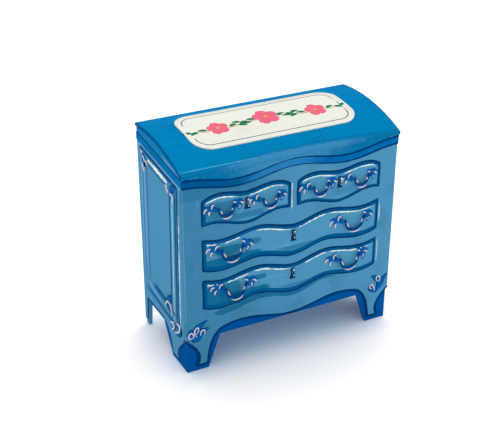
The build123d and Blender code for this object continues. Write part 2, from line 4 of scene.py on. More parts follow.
import bmesh
import bpy
import numpy as np
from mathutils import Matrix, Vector

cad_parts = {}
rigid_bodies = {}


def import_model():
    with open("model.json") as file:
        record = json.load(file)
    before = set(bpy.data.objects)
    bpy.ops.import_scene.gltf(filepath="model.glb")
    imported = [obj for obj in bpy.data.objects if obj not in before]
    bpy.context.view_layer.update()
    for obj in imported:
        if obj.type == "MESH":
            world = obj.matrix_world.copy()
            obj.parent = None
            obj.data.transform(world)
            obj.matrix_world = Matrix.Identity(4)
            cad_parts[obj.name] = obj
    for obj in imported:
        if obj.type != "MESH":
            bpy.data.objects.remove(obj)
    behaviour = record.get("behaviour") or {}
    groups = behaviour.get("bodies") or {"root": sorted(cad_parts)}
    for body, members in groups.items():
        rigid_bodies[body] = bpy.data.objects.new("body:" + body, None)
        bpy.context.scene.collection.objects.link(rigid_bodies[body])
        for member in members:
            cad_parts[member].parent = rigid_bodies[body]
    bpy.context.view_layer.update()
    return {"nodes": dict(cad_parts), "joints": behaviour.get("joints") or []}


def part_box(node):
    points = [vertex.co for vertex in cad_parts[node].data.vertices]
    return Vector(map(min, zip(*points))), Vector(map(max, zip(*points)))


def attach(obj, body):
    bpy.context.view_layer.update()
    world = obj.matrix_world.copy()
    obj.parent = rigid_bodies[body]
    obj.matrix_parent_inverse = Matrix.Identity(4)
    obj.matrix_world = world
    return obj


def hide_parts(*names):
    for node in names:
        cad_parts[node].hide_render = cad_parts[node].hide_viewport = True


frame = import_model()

bl_info = {
    "name": "Painted Miniature Dresser",
    "version": (1, 0, 0),
    "blender": (4, 5, 0),
    "location": "View3D > Sidebar > Dresser",
    "description": "Paints a dresser by hand: brushed boards, drawn lines, leaf pulls and a panel on its top",
    "category": "Object",
}

# Lengths in this file are in millimetres, and become metres where a mesh or the camera is made
MM = 0.001
STROKE_POINTS = 10  # round a brush stroke
TURNED_POINTS = 20  # round a turned piece
DRAWERS = ("small_left", "small_right", "middle", "lower")
SIDES = (-1, 1)
FAR = 500.0  # past every piece
SAME = 0.02  # points of the frame that are no further apart than this lie on one level

# A bail's wire, the balls and pins on its ends, and the posts that carry them
WIRE_RADIUS = 0.6
BALL_RADIUS = 0.75
PIN_RADIUS = 0.35
PIN_LENGTH = 0.5
PIN_END = 2.6  # end of the solid's pin, from the end of the loop
POST_OFFSET = 1.75  # middle of a post, from the end of the loop
POST_RADIUS = 0.84

# How far the band on a side climbs from front to back
SIDE_BAND_CLIMB = 4.5


# Reading the frame
def node_points(node):
    """All points of a CAD node."""
    mesh = frame["nodes"][node].data
    points = np.empty(len(mesh.vertices) * 3, np.float32)
    mesh.vertices.foreach_get("co", points)
    return points.reshape(-1, 3).astype(float) / MM


def node_box(node):
    """Lowest and highest corner of a CAD node."""
    low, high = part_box(node)
    return np.array(low) / MM, np.array(high) / MM


def on_level(points, axis, level):
    """The points that lie on one flat level."""
    return points[np.abs(points[:, axis] - level) < SAME]


def pairs(first, second):
    """Two runs of numbers as one run of pairs."""
    return np.stack([first, second], axis=1)


def run(points, along, up):
    """Points in order along one axis, each place once, as pairs of place and height."""
    places, index = np.unique(np.round(points[:, along], 3), return_index=True)
    return pairs(places, points[index, up])


def bow_circle():
    """Middle in Y and Z, and radius, of the circle that best fits the upper side of the bowed top.

    On a circle, the sum of the squares of Y and Z is a number times Y, plus one times Z, plus a third one.
    Least squares gives the three."""
    mesh = frame["nodes"]["top_panel"].data
    normals = np.empty(len(mesh.polygons) * 3, np.float32)
    mesh.polygons.foreach_get("normal", normals)
    corners = np.empty(len(mesh.polygons) * 3, np.int32)
    mesh.polygons.foreach_get("vertices", corners)
    upper = corners.reshape(-1, 3)[normals.reshape(-1, 3)[:, 2] > 0.5].ravel()
    y, z = node_points("top_panel")[upper, 1:].T
    terms = np.stack([2 * y, 2 * z, np.ones_like(y)], axis=1)
    y_middle, z_middle, rest = np.linalg.lstsq(terms, y * y + z * z, rcond=None)[0]
    return y_middle, z_middle, (rest + y_middle**2 + z_middle**2) ** 0.5


def ring_corners():
    """Y and Z of the side ring's near low, near high, far low and far high corner.

    Its arms climb to the rear and its ends lean to the rear at the bottom, so each corner is furthest out in
    one direction."""
    points = node_points("left_side_moulding")[:, 1:]
    order = points[:, 1].argmin(), points[:, 0].argmin(), points[:, 0].argmax(), points[:, 1].argmax()
    return [points[place] for place in order]


# Measures of the carcass
stile_low = node_box("left_stile")[0]
X_OUT = -stile_low[0]
Y_FRONT = stile_low[1]
Y_BACK = node_box("back_panel")[1][1]
Y_FIELD = node_box("middle_front")[0][1]
Z_CORNICE = node_box("front_crown")[1][2]
BOW = bow_circle()
NEAR_LOW, NEAR_HIGH, FAR_LOW, FAR_HIGH = ring_corners()
RING_NEAR, RING_FAR = NEAR_HIGH[0], FAR_HIGH[0]
RING_LOW, RING_HIGH = NEAR_LOW[1], NEAR_HIGH[1]
RING_SLOPE = (FAR_LOW - NEAR_LOW)[1] / (FAR_LOW - NEAR_LOW)[0]  # rise of its arms for each step to the rear
RING_LEAN = (NEAR_LOW - NEAR_HIGH)[0] / (NEAR_HIGH - NEAR_LOW)[1]  # shift of its ends for each step down
RING_RISE = -node_box("left_side_moulding")[0][0] - X_OUT
side_points = on_level(node_points("left_side_frame"), 0, -X_OUT)
# Further in, from the front and from the back, than the leg's curve and the rear toe
LEG_REACH, TOE_REACH = 36.0, 3.0
behind_leg = side_points[:, 1] > Y_FRONT + LEG_REACH
arch_points = side_points[behind_leg & (side_points[:, 1] < Y_BACK - TOE_REACH)]
Z_SKIRT = arch_points[:, 2].min()  # lower edge of the side frame between its feet
Y_REAR = on_level(arch_points, 2, Z_SKIRT)[:, 1].max()  # where that edge turns down to the rear foot


# Surfaces
def smooth_path(points, count=28):
    """A smooth path through a few points: each piece is a cubic, whose slope at an end is half the step
    between the points before and after it."""
    points = np.asarray(points, float)
    place = np.linspace(0, len(points) - 1, count)
    step = np.minimum(place.astype(int), len(points) - 2)
    t = (place - step)[:, None]
    last = len(points) - 1
    before, start, end, after = [points[np.clip(step + shift, 0, last)] for shift in (-1, 0, 1, 2)]
    return (
        start
        + t * (end - before) / 2
        + t**2 * (before - 2.5 * start + 2 * end - after / 2)
        + t**3 * (1.5 * (start - end) + (after - before) / 2)
    )


def taper(count, rise=0.25, fall=0.35, tip=0.08):
    """A brush stroke's width along its path: it swells from a thin tip, stays full and thins out again.

    It is the sine of a quarter turn times two shares: of the swell, as far as it has gone, and of the
    thinning, as far as it is still ahead."""
    t = np.linspace(0, 1, count)
    swell = np.clip(t / rise, 0, 1) * np.clip((1 - t) / fall, 0, 1)
    return tip + (1 - tip) * np.sin(swell * pi / 2)


def wobble(count, seed, waves=9):
    """A hand's unevenness from -1 to 1 along a path: a sum of sines whose phases are drawn from the seed."""
    draw = np.random.default_rng(seed)
    t = np.linspace(0, 2 * pi, count)[:, None]
    turns = np.arange(1, waves + 1)
    total = (np.sin(turns * t + draw.uniform(0, 2 * pi, waves)) / np.sqrt(turns)).sum(axis=1)
    return total / np.abs(total).max()


def brush(path, width, rise, lift=0.0, sink=0.15, closed=False):
    """A paint stroke in a flat frame (a, b, height): an ellipse carried along the path, square to it.

    Its upper half stands proud by the rise, and its lower half is sunk into what carries it."""
    path = np.asarray(path, float)
    count = len(path)
    sizes = (width, rise, lift, sink)
    width, rise, lift, sink = [np.broadcast_to(size, count)[:, None] for size in sizes]
    if closed:
        along = np.roll(path, -1, axis=0) - np.roll(path, 1, axis=0)
    else:
        along = np.gradient(path, axis=0)
    along /= np.linalg.norm(along, axis=1, keepdims=True)
    across = np.stack([along[:, 1], -along[:, 0]], axis=1)
    turn = np.linspace(0, 2 * pi, STROKE_POINTS, endpoint=False)[None, :]
    flat = path[:, None] + across[:, None] * (width / 2 * np.cos(turn))[..., None]
    height = lift + np.where(np.sin(turn) > 0, rise, sink) * np.sin(turn)
    return np.concatenate([flat, height[..., None]], axis=2), closed


def turned(profile, middle, axis):
    """A turned piece: a profile of (distance from the middle along an axis, radius) swung round the axis."""
    profile = np.asarray(profile, float)
    axis = np.asarray(axis, float)
    side = np.roll(axis, 1)
    other = np.cross(axis, side)
    turn = np.linspace(0, 2 * pi, TURNED_POINTS, endpoint=False)[:, None]
    circle = np.cos(turn) * side + np.sin(turn) * other
    return middle + profile[:, 0, None, None] * axis + profile[:, 1, None, None] * circle, False


def on_front(shell, y):
    """A stroke's flat frame stood on a plane that faces the front: a is X, b is Z."""
    rings, closed = shell
    a, b, height = np.moveaxis(rings, 2, 0)
    return np.stack([a, y - height, b], axis=2), closed


def on_side(shell, x, side):
    """A stroke's flat frame stood on a plane that faces left (-1) or right (1): a is Y, b is Z."""
    rings, closed = shell
    a, b, height = np.moveaxis(rings, 2, 0)
    return np.stack([side * (x + height), a, b], axis=2), closed


def on_top(shell):
    """A stroke's flat frame laid on the bowed top: a is X, b is Y, and the circle's height is added."""
    rings, closed = shell
    a, b, height = np.moveaxis(rings, 2, 0)
    y_middle, z_middle, radius = BOW
    return np.stack([a, b, z_middle + np.sqrt(radius**2 - (b - y_middle) ** 2) + height], axis=2), closed


def ring_faces(rings, points, closed):
    """Quads between neighbouring rings of a shell, and from its last ring to its first where it is closed."""
    ring, point = np.meshgrid(np.arange(rings if closed else rings - 1), np.arange(points), indexing="ij")
    here, following = ring * points, (ring + 1) % rings * points
    beside = (point + 1) % points
    corners = [here + point, here + beside, following + beside, following + point]
    return np.stack(corners, axis=2).reshape(-1, 4)


def make_piece(name, shells, material, body, replaced=()):
    """One mesh out of shells of rings. A shell's end rings close it, unless it is joined to itself."""
    faces = []
    start = 0
    for rings, closed in shells:
        count, points = rings.shape[:2]
        faces += (ring_faces(count, points, closed) + start).tolist()
        if not closed:
            end = start + np.arange(points)
            faces += [end.tolist(), (end + (count - 1) * points).tolist()]
        start += count * points
    mesh = bpy.data.meshes.new(name)
    mesh.from_pydata(np.concatenate([rings.reshape(-1, 3) for rings, _ in shells]) * MM, [], faces)
    shape = bmesh.new()
    shape.from_mesh(mesh)
    bmesh.ops.recalc_face_normals(shape, faces=shape.faces)
    shape.to_mesh(mesh)
    shape.free()
    mesh.shade_smooth()
    mesh.materials.append(material)
    piece = bpy.data.objects.new(name, mesh)
    bpy.context.scene.collection.objects.link(piece)
    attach(piece, body)
    if replaced:
        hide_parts(*replaced)
    return piece


def moved(points, origin, scale=1.0, turn=0.0, side=1):
    """Points of a motif turned by an angle, scaled, mirrored for the left (-1) and set at an origin."""
    points = np.asarray(points, float)
    a = points[:, 0] * cos(turn) - points[:, 1] * sin(turn)
    b = points[:, 0] * sin(turn) + points[:, 1] * cos(turn)
    return pairs(origin[0] + side * scale * a, origin[1] + scale * b)


def lobe(points, width, rise=0.5, lift=0.0, sink=0.15, count=22):
    """A puffed leaf: a stroke that is widest early and thins to its tip."""
    full = taper(count, rise=0.45, fall=0.6, tip=0.14)
    return brush(smooth_path(points, count), width * full, rise * np.sqrt(full), lift, sink)


def comma(points, width, rise=0.16, lift=0.35, sink=0.4, count=16):
    """A comma-shaped stroke of pale paint on top of a leaf."""
    full = taper(count, rise=0.35, fall=0.5, tip=0.2)
    return brush(smooth_path(points, count), width * full, rise * full, lift, sink)


class DrawerFace:
    """A drawer front's edges, and its field raised on a bevel, read from its CAD node."""

    def __init__(self, name):
        points = node_points(f"{name}_front")
        self.outer = self.edges(on_level(points, 1, Y_FRONT))
        self.inner = self.edges(on_level(points, 1, points[:, 1].min()))
        self.rise = Y_FRONT - points[:, 1].min()
        self.left, self.right = points[:, 0].min(), points[:, 0].max()
        self.small = self.right - self.left < X_OUT
        self.inner_left, self.inner_right = self.inner[0][0, 0], self.inner[0][-1, 0]

    @staticmethod
    def edges(points):
        """Upper and lower edge of a level, each as places in X and heights."""
        middle = (points[:, 2].min() + points[:, 2].max()) / 2
        return run(points[points[:, 2] > middle], 0, 2), run(points[points[:, 2] < middle], 0, 2)

    def top(self, x):
        """Height of the upper edge at places in X."""
        return np.interp(x, *self.outer[0].T)

    def bottom(self, x):
        """Height of the lower edge at places in X."""
        return np.interp(x, *self.outer[1].T)

    def place(self, share):
        """Place in X at a share of the width."""
        return self.left + share * (self.right - self.left)

    def height(self, x, z):
        """How far the front stands proud of its edge: its rise, by the share of the bevel's way in."""
        top, bottom = self.top(x), self.bottom(x)
        ways = [
            (top - z) / (top - np.interp(x, *self.inner[0].T)),
            (z - bottom) / (np.interp(x, *self.inner[1].T) - bottom),
            (x - self.left) / (self.inner_left - self.left),
            (self.right - x) / (self.right - self.inner_right),
        ]
        return self.rise * np.clip(np.min(ways, axis=0), 0, 1)

    def loop(self, top, bottom, left, right, long=170, short=40):
        """A closed path inside the edge, set in by its own distance from each of the four sides."""
        x = np.linspace(self.left + left, self.right - right, long)
        upper = pairs(x, self.top(x) - top)
        lower = pairs(x, self.bottom(x) + bottom)[::-1]
        share = np.linspace(0, 1, short)[1:-1, None]
        return np.concatenate([
            upper,
            upper[-1] + share * (lower[0] - upper[-1]),
            lower,
            lower[-1] + share * (upper[0] - lower[-1]),
        ])


def leg_edges(points, along, ceiling=FAR):
    """Outer and inner edge of a leg on a flat face, from its toe up, as places along the face and heights."""
    toe = points[points[:, 2] < points[:, 2].min() + SAME]
    divide = (toe[:, along].min() + toe[:, along].max()) / 2
    outer = run(points[points[:, along] < divide], 2, along)
    knee = outer[outer[:, 1] < outer[:, 1].min() + SAME][0, 0]
    outer = outer[outer[:, 0] < knee + SAME]
    inner = run(points[(points[:, along] > divide) & (points[:, 2] < ceiling)], 2, along)
    inner = inner[: np.argmax(inner[:, 1]) + 1]
    return outer[:, ::-1], inner[:, ::-1]


def even(path, count):
    """The same path in even steps."""
    steps = np.linalg.norm(np.diff(path, axis=0), axis=1)
    way = np.concatenate([[0], np.cumsum(steps)])
    places = np.linspace(0, way[-1], count)
    return pairs(np.interp(places, way, path[:, 0]), np.interp(places, way, path[:, 1]))


def rounded(loop, times):
    """A closed path with its corners rounded by averaging each point with its neighbours, some times over."""
    for _ in range(times):
        loop = (np.roll(loop, 1, axis=0) + 2 * loop + np.roll(loop, -1, axis=0)) / 4
    return loop


# Brush marks: how fine each is, and the range of its noise over which it takes hold
BLOTCH_SCALE, BLOTCH_RANGE = 0.07, (0.5, 0.75)
STREAK_SCALE, STREAK_RANGE = 1.0, (0.55, 0.8)
STREAK_DETAIL = 5.0
GRAIN_SCALE, GRAIN_RANGE = 0.9, (0.35, 0.65)
FLECK_SCALE, FLECK_RANGE = 0.8, (0.78, 1.0)
RAGGED_SCALE = 0.33  # unevenness of a patch's edge
EDGE_DETAIL = 4.0  # of a patch's edge and of rubbed flecks

# How much lighter (above 0) or darker each mark is than the paint, as a share of it
BLOTCH_SHARE, STREAK_SHARE, GRAIN_SHARE = -0.55, 0.6, 0.3

# Which way the streaks of a brush run: the noise is stretched along the smallest number
ALONG_X = (0.06, 0.5, 0.75)
ALONG_Y = (0.75, 0.06, 0.75)
ALONG_Z = (0.75, 0.5, 0.05)
ANY_WAY = (0.35, 0.35, 0.35)

# A patch keeps this share of its strength between the streaks of its paint
PATCH_STREAKS, PATCH_SHARE = (0.2, 0.5), 0.85

# Bare wood, whose rings and pores run along Y
WOOD_STRETCH = (0.55, 0.03, 0.55)
WOOD_SCALE, WOOD_DETAIL, WOOD_TURNS = 0.6, 2.0, 22.0
PORE_STRETCH = (5.0, 0.25, 5.0)
PORE_RANGE, PORE_STRENGTH, PORE_SHARE = (0.55, 0.75), 0.5, -0.5
WOOD_ROUGHNESS = (0.55, 0.7)

# Sheen and relief
SHEEN = 0.03  # specular level of the matt paint
PAINT_IOR = 1.1  # a matt paint, which hardly reflects at a flat angle
DULLER, GLOSSIER = 0.1, 0.08  # a paint's roughness between its streaks and on them, past its own
ROUGH_RANGE = (0.3, 0.7)
BUMP_STRENGTH = 0.6
BRUSH_RELIEF, GRAIN_RELIEF = 0.12, 0.4  # depth of the streaks, and the grain's as a share of it
PORE_RELIEF = 0.05

# A Mix node's inputs for its factor and two colours, and its output for the colour between them
MIX_INPUTS, MIX_OUTPUT = (0, 6, 7), 2


# Nodes of a material
def scalar(tree, operation, *terms):
    """A Math node on sockets or numbers."""
    made = tree.nodes.new("ShaderNodeMath")
    made.operation = operation
    return fill(tree, made, terms).outputs[0]


def vector(tree, operation, *terms):
    """A Vector Math node on sockets or vectors."""
    made = tree.nodes.new("ShaderNodeVectorMath")
    made.operation = operation
    fill(tree, made, terms)
    return made.outputs["Value" if operation in ("LENGTH", "DOT_PRODUCT") else "Vector"]


def put(tree, place, term):
    """Puts a socket or a plain value into one input of a node."""
    if isinstance(term, bpy.types.NodeSocket):
        tree.links.new(term, place)
    else:
        place.default_value = term


def fill(tree, made, terms):
    """Puts sockets or plain values into a node's inputs, in order."""
    for place, term in zip(made.inputs, terms):
        put(tree, place, term)
    return made


def mix(tree, factor, first, second):
    """A colour between two, each a socket or a colour."""
    made = tree.nodes.new("ShaderNodeMix")
    made.data_type = "RGBA"
    for place, term in zip(MIX_INPUTS, (factor, first, second)):
        put(tree, made.inputs[place], (*term, 1) if isinstance(term, tuple) else term)
    return made.outputs[MIX_OUTPUT]


def ramp(tree, value, start, end, low=0.0, high=1.0):
    """A smooth step from low to high while a value goes from start to end."""
    made = tree.nodes.new("ShaderNodeMapRange")
    made.interpolation_type = "SMOOTHSTEP"
    return fill(tree, made, (value, start, end, low, high)).outputs[0]


def noise(tree, place, scale, detail=3.0):
    """Soft noise from 0 to 1 at a place."""
    made = tree.nodes.new("ShaderNodeTexNoise")
    made.inputs["Scale"].default_value = scale
    made.inputs["Detail"].default_value = detail
    tree.links.new(place, made.inputs["Vector"])
    return made.outputs[0]


def new_group(name, vectors, floats, outputs):
    """An empty node group with its named sockets, and the ends to wire up inside it."""
    tree = bpy.data.node_groups.new(name, "ShaderNodeTree")
    sockets = (vectors, "INPUT", "Vector"), (floats, "INPUT", "Float"), (outputs, "OUTPUT", "Float")
    for titles, way, kind in sockets:
        for title in titles:
            tree.interface.new_socket(title, in_out=way, socket_type=f"NodeSocket{kind}")
    return tree, tree.nodes.new("NodeGroupInput").outputs, tree.nodes.new("NodeGroupOutput").inputs


def brush_marks_group():
    """Marks of a brush: broad blotches, streaks drawn out along the stroke, and the grain of dry paint."""
    vectors, outputs = ["Position", "Stretch"], ["Blotch", "Streak", "Grain"]
    tree, given, out = new_group("Brush Marks", vectors, [], outputs)
    stretched = vector(tree, "MULTIPLY", given["Position"], given["Stretch"])
    bent = vector(tree, "ADD", stretched, given["Stretch"])
    tree.links.new(noise(tree, given["Position"], BLOTCH_SCALE), out["Blotch"])
    tree.links.new(noise(tree, bent, STREAK_SCALE, STREAK_DETAIL), out["Streak"])
    tree.links.new(noise(tree, given["Position"], GRAIN_SCALE), out["Grain"])
    return tree


def painted_patch_group():
    """Where a patch of other paint lies: inside a box or ellipsoid round its centre, with an uneven edge."""
    vectors, floats = ["Position", "Centre", "Half Size"], ["Edge", "Ragged", "Round"]
    tree, given, out = new_group("Painted Patch", vectors, floats, ["Mask"])
    offset = vector(tree, "SUBTRACT", given["Position"], given["Centre"])
    share = vector(tree, "ABSOLUTE", vector(tree, "DIVIDE", offset, given["Half Size"]))
    parts = tree.nodes.new("ShaderNodeSeparateXYZ")
    tree.links.new(share, parts.inputs[0])
    x, y, z = parts.outputs
    square = scalar(tree, "MAXIMUM", x, scalar(tree, "MAXIMUM", y, z))
    circle = vector(tree, "LENGTH", share)
    way = scalar(tree, "MULTIPLY", scalar(tree, "SUBTRACT", circle, square), given["Round"])
    uneven = scalar(tree, "SUBTRACT", noise(tree, given["Position"], RAGGED_SCALE, EDGE_DETAIL), 0.5)
    reach = scalar(tree, "MULTIPLY_ADD", uneven, given["Ragged"], scalar(tree, "ADD", square, way))
    outside = scalar(tree, "ADD", given["Edge"], 1.0)
    inside = scalar(tree, "SUBTRACT", 1.0, given["Edge"])
    tree.links.new(ramp(tree, reach, outside, inside), out["Mask"])
    return tree


def worn_edge_group():
    """Where paint has rubbed off: near two of a box's faces at once, in flecks."""
    vectors, floats = ["Position", "Low", "High"], ["Width", "Amount"]
    tree, given, out = new_group("Worn Edge", vectors, floats, ["Mask"])
    below = vector(tree, "ABSOLUTE", vector(tree, "SUBTRACT", given["Position"], given["Low"]))
    above = vector(tree, "ABSOLUTE", vector(tree, "SUBTRACT", given["Position"], given["High"]))
    parts = tree.nodes.new("ShaderNodeSeparateXYZ")
    tree.links.new(vector(tree, "MINIMUM", below, above), parts.inputs[0])
    x, y, z = parts.outputs
    least = scalar(tree, "MINIMUM", x, y)
    most = scalar(tree, "MAXIMUM", x, y)
    second = scalar(tree, "MAXIMUM", least, scalar(tree, "MINIMUM", most, z))
    near = ramp(tree, second, given["Width"], 0.0)
    flecks = noise(tree, given["Position"], FLECK_SCALE, EDGE_DETAIL)
    rubbed = scalar(tree, "MULTIPLY", near, given["Amount"])
    tree.links.new(ramp(tree, scalar(tree, "ADD", flecks, rubbed), *FLECK_RANGE), out["Mask"])
    return tree


def wood_grain_group():
    """Bare wood: rings drawn out along Y and fine pores."""
    tree, given, out = new_group("Wood Grain", ["Position"], [], ["Rings", "Pores"])
    drawn = vector(tree, "MULTIPLY", given["Position"], WOOD_STRETCH)
    warped = scalar(tree, "MULTIPLY", noise(tree, drawn, WOOD_SCALE, WOOD_DETAIL), WOOD_TURNS)
    tree.links.new(scalar(tree, "MULTIPLY_ADD", scalar(tree, "SINE", warped), 0.5, 0.5), out["Rings"])
    pores = vector(tree, "MULTIPLY", given["Position"], PORE_STRETCH)
    tree.links.new(noise(tree, pores, 1.0), out["Pores"])
    return tree


GROUPS = {
    "marks": brush_marks_group,
    "patch": painted_patch_group,
    "worn": worn_edge_group,
    "grain": wood_grain_group,
}
made_groups = {}


def group(tree, kind, **values):
    """A node group placed in a material, built the first time it is asked for."""
    if kind not in made_groups:
        made_groups[kind] = GROUPS[kind]()
    made = tree.nodes.new("ShaderNodeGroup")
    made.node_tree = made_groups[kind]
    for title, value in values.items():
        put(tree, made.inputs[title.replace("_", " ").title()], value)
    return made.outputs


def new_material(name):
    """A material with its shader, and Object coordinates in millimetres."""
    made = bpy.data.materials.new(name)
    made.use_nodes = True
    tree = made.node_tree
    shader = tree.nodes["Principled BSDF"]
    place = tree.nodes.new("ShaderNodeTexCoord")
    scaled = tree.nodes.new("ShaderNodeVectorMath")
    scaled.operation = "SCALE"
    scaled.inputs["Scale"].default_value = 1 / MM
    tree.links.new(place.outputs["Object"], scaled.inputs[0])
    return made, tree, shader, scaled.outputs[0]


def bump(tree, shader, height, distance):
    """A fine relief of that height, in millimetres."""
    made = tree.nodes.new("ShaderNodeBump")
    made.inputs["Strength"].default_value = BUMP_STRENGTH
    made.inputs["Distance"].default_value = distance * MM
    tree.links.new(height, made.inputs["Height"])
    tree.links.new(made.outputs[0], shader.inputs["Normal"])


def lighter(colour, share):
    """A colour made stronger by a share of itself (above 0) or weaker (below 0), which keeps its hue."""
    return tuple(min(value * (1 + share), 1.0) for value in colour)


def paint_material(name, start, end=None, axis=(0, 0, 0), offset=0.0, stretch=ALONG_X, patches=(), worn=(),
                   variety=0.16, roughness=0.5, climb=0.0, lean=0.0):
    """Brushed paint: two colours blended along an axis, blotched and streaked, with patches and worn edges.

    The patches' heights rise with Y by the climb, and their places in Y fall with height by the lean."""
    material, tree, shader, position = new_material(name)
    level = position
    if climb or lean:
        shift = tree.nodes.new("ShaderNodeCombineXYZ")
        tree.links.new(vector(tree, "DOT_PRODUCT", position, (0, 0, -lean)), shift.inputs["Y"])
        tree.links.new(vector(tree, "DOT_PRODUCT", position, (0, climb, 0)), shift.inputs["Z"])
        level = vector(tree, "SUBTRACT", position, shift.outputs[0])
    marks = group(tree, "marks", position=position, stretch=stretch)
    colour = tuple(start)
    if end is not None:
        way = scalar(tree, "ADD", vector(tree, "DOT_PRODUCT", position, axis), offset)
        colour = mix(tree, ramp(tree, way, 0.0, 1.0), tuple(start), tuple(end))
    dark = ramp(tree, marks["Blotch"], *BLOTCH_RANGE, 0.0, variety)
    colour = mix(tree, dark, colour, lighter(start, BLOTCH_SHARE))
    light = ramp(tree, marks["Streak"], *STREAK_RANGE, 0.0, 2 * variety)
    colour = mix(tree, light, colour, lighter(start, STREAK_SHARE))
    specks = ramp(tree, marks["Grain"], *GRAIN_RANGE, 0.0, variety)
    colour = mix(tree, specks, colour, lighter(start, GRAIN_SHARE))
    for paint, strength, values in patches:
        mask = group(tree, "patch", position=level, **values)["Mask"]
        streaked = ramp(tree, marks["Streak"], *PATCH_STREAKS, strength * PATCH_SHARE, strength)
        colour = mix(tree, scalar(tree, "MULTIPLY", mask, streaked), colour, tuple(paint))
    for paint, values in worn:
        mask = group(tree, "worn", position=position, **values)["Mask"]
        colour = mix(tree, mask, colour, tuple(paint))
    tree.links.new(colour, shader.inputs["Base Color"])
    dull = ramp(tree, marks["Streak"], *ROUGH_RANGE, roughness + DULLER, roughness - GLOSSIER)
    tree.links.new(dull, shader.inputs["Roughness"])
    relief = scalar(tree, "MULTIPLY_ADD", marks["Grain"], GRAIN_RELIEF, marks["Streak"])
    bump(tree, shader, relief, BRUSH_RELIEF)
    shader.inputs["Specular IOR Level"].default_value = SHEEN
    shader.inputs["IOR"].default_value = PAINT_IOR
    return material


def wood_material(name, pale, dark):
    """Bare wood with drawn-out rings and pores."""
    material, tree, shader, position = new_material(name)
    grain = group(tree, "grain", position=position)
    colour = mix(tree, grain["Rings"], tuple(pale), tuple(dark))
    pores = ramp(tree, grain["Pores"], *PORE_RANGE, 0.0, PORE_STRENGTH)
    colour = mix(tree, pores, colour, lighter(dark, PORE_SHARE))
    tree.links.new(colour, shader.inputs["Base Color"])
    tree.links.new(ramp(tree, grain["Pores"], *ROUGH_RANGE, *WOOD_ROUGHNESS), shader.inputs["Roughness"])
    bump(tree, shader, grain["Pores"], PORE_RELIEF)
    return material


def patch(paint, strength, centre, half, edge=0.15, ragged=0.4, shape=0.0):
    """A patch of other paint for paint_material: its strength, centre and half size, how soft and how ragged
    its edge is as shares of that size, and its shape from a box (0) to an ellipsoid (1)."""
    values = {"centre": centre, "half_size": half, "edge": edge, "ragged": ragged, "round": shape}
    return paint, strength, values


def dress(nodes, material):
    """Puts a material on CAD nodes."""
    for node in nodes:
        mesh = frame["nodes"][node].data
        mesh.materials.clear()
        mesh.materials.append(material)


# Settings
def linear(*levels):
    """A colour given by its display levels from 0 to 255, as light."""
    shares = np.array(levels) / 255
    return tuple(np.where(shares <= 0.04045, shares / 12.92, ((shares + 0.055) / 1.055) ** 2.4).tolist())


def colour_setting(name, description, *levels):
    """A setting for a colour, given by its display levels."""
    return bpy.props.FloatVectorProperty(
        name=name, description=description, default=linear(*levels), subtype="COLOR", size=3, min=0, max=1
    )


def length_setting(name, description, default):
    """A setting for a length, given in millimetres."""
    return bpy.props.FloatProperty(
        name=name,
        description=description,
        default=default * MM,
        unit="LENGTH",
        subtype="DISTANCE",
        precision=5,
    )


class DresserColours(bpy.types.PropertyGroup):
    """Paints of the dresser, and the floor's colour"""

    front_left: colour_setting("Front, left", "Front frame at its left end", 67, 133, 169)
    front_right: colour_setting("Front, right", "Front frame at its right end", 86, 153, 192)
    side: colour_setting("Sides", "Side frames and fields", 85, 149, 186)
    top: colour_setting("Top", "Bowed top", 0, 123, 181)
    top_front: colour_setting("Top, front", "Bowed top near its front edge", 0, 125, 177)
    crown: colour_setting("Cornice", "Worn strip under the top", 6, 116, 168)
    crown_middle: colour_setting("Cornice, middle", "Middle of the worn strip under the top", 66, 142, 188)
    band: colour_setting("Band", "Wavy band under the cornice", 3, 108, 176)
    band_left: colour_setting("Band, left", "Left end of the wavy band", 1, 90, 146)
    band_middle: colour_setting("Band, middle", "Middle of the wavy band", 50, 132, 194)
    crescent: colour_setting("Side crescents", "Ends of the bowed top on each side", 6, 127, 184)
    side_band: colour_setting("Side bands", "Band under the top on each side", 0, 115, 175)
    foot: colour_setting("Feet", "Foot board and the feet's corners", 0, 86, 160)
    drawer: colour_setting("Drawers", "Fields of the drawer fronts", 82, 150, 186)
    # Teal: painted shade, in brushed patches on the front, the sides and the drawers
    teal: colour_setting("Teal", "Brushed patches", 12, 109, 151)
    apron_shade: colour_setting("Apron shade", "Brushed stroke under the lower drawer", 32, 112, 154)
    shade: colour_setting("Shade", "Dark edge under the top on each side", 0, 84, 132)
    border: colour_setting("Drawer borders", "Bands round the drawer fronts", 2, 91, 146)
    line: colour_setting("Lines", "Dark drawn lines", 0, 60, 114)
    worn: colour_setting("Worn paint", "Rubbed edges of the top", 96, 178, 205)
    pale: colour_setting("Pale strokes", "Highlights in pale paint", 244, 248, 242)
    light: colour_setting("Light strokes", "Light blue lines on the sides", 124, 174, 214)
    # Pink: painted highlights on the pulls' leaves and bails
    pink: colour_setting("Pink strokes", "Strokes on the pulls", 247, 214, 200)
    spray: colour_setting("Spray strokes", "Strokes on the leaf sprays", 234, 212, 205)
    pull: colour_setting("Pull leaves", "Leaves of the pulls and sprays", 2, 98, 174)
    bail: colour_setting("Bails", "Loops of the pulls", 0, 72, 142)
    keyhole: colour_setting("Keyholes", "Keyhole plates", 10, 48, 90)
    cloth: colour_setting("Cloth", "Cloth panel on the top", 238, 233, 220)
    flower: colour_setting("Flowers", "Petals on the cloth panel", 240, 104, 129)
    leaf: colour_setting("Leaves", "Leaves on the cloth panel", 30, 120, 78)
    stem: colour_setting("Stems", "Stems and flower hearts on the cloth panel", 214, 170, 72)
    wood: colour_setting("Bare wood", "Drawer boxes and boards inside", 205, 176, 136)
    wood_dark: colour_setting("Wood grain", "Rings of the bare wood", 176, 141, 100)
    floor: colour_setting("Floor", "Pale floor", 250, 251, 252)


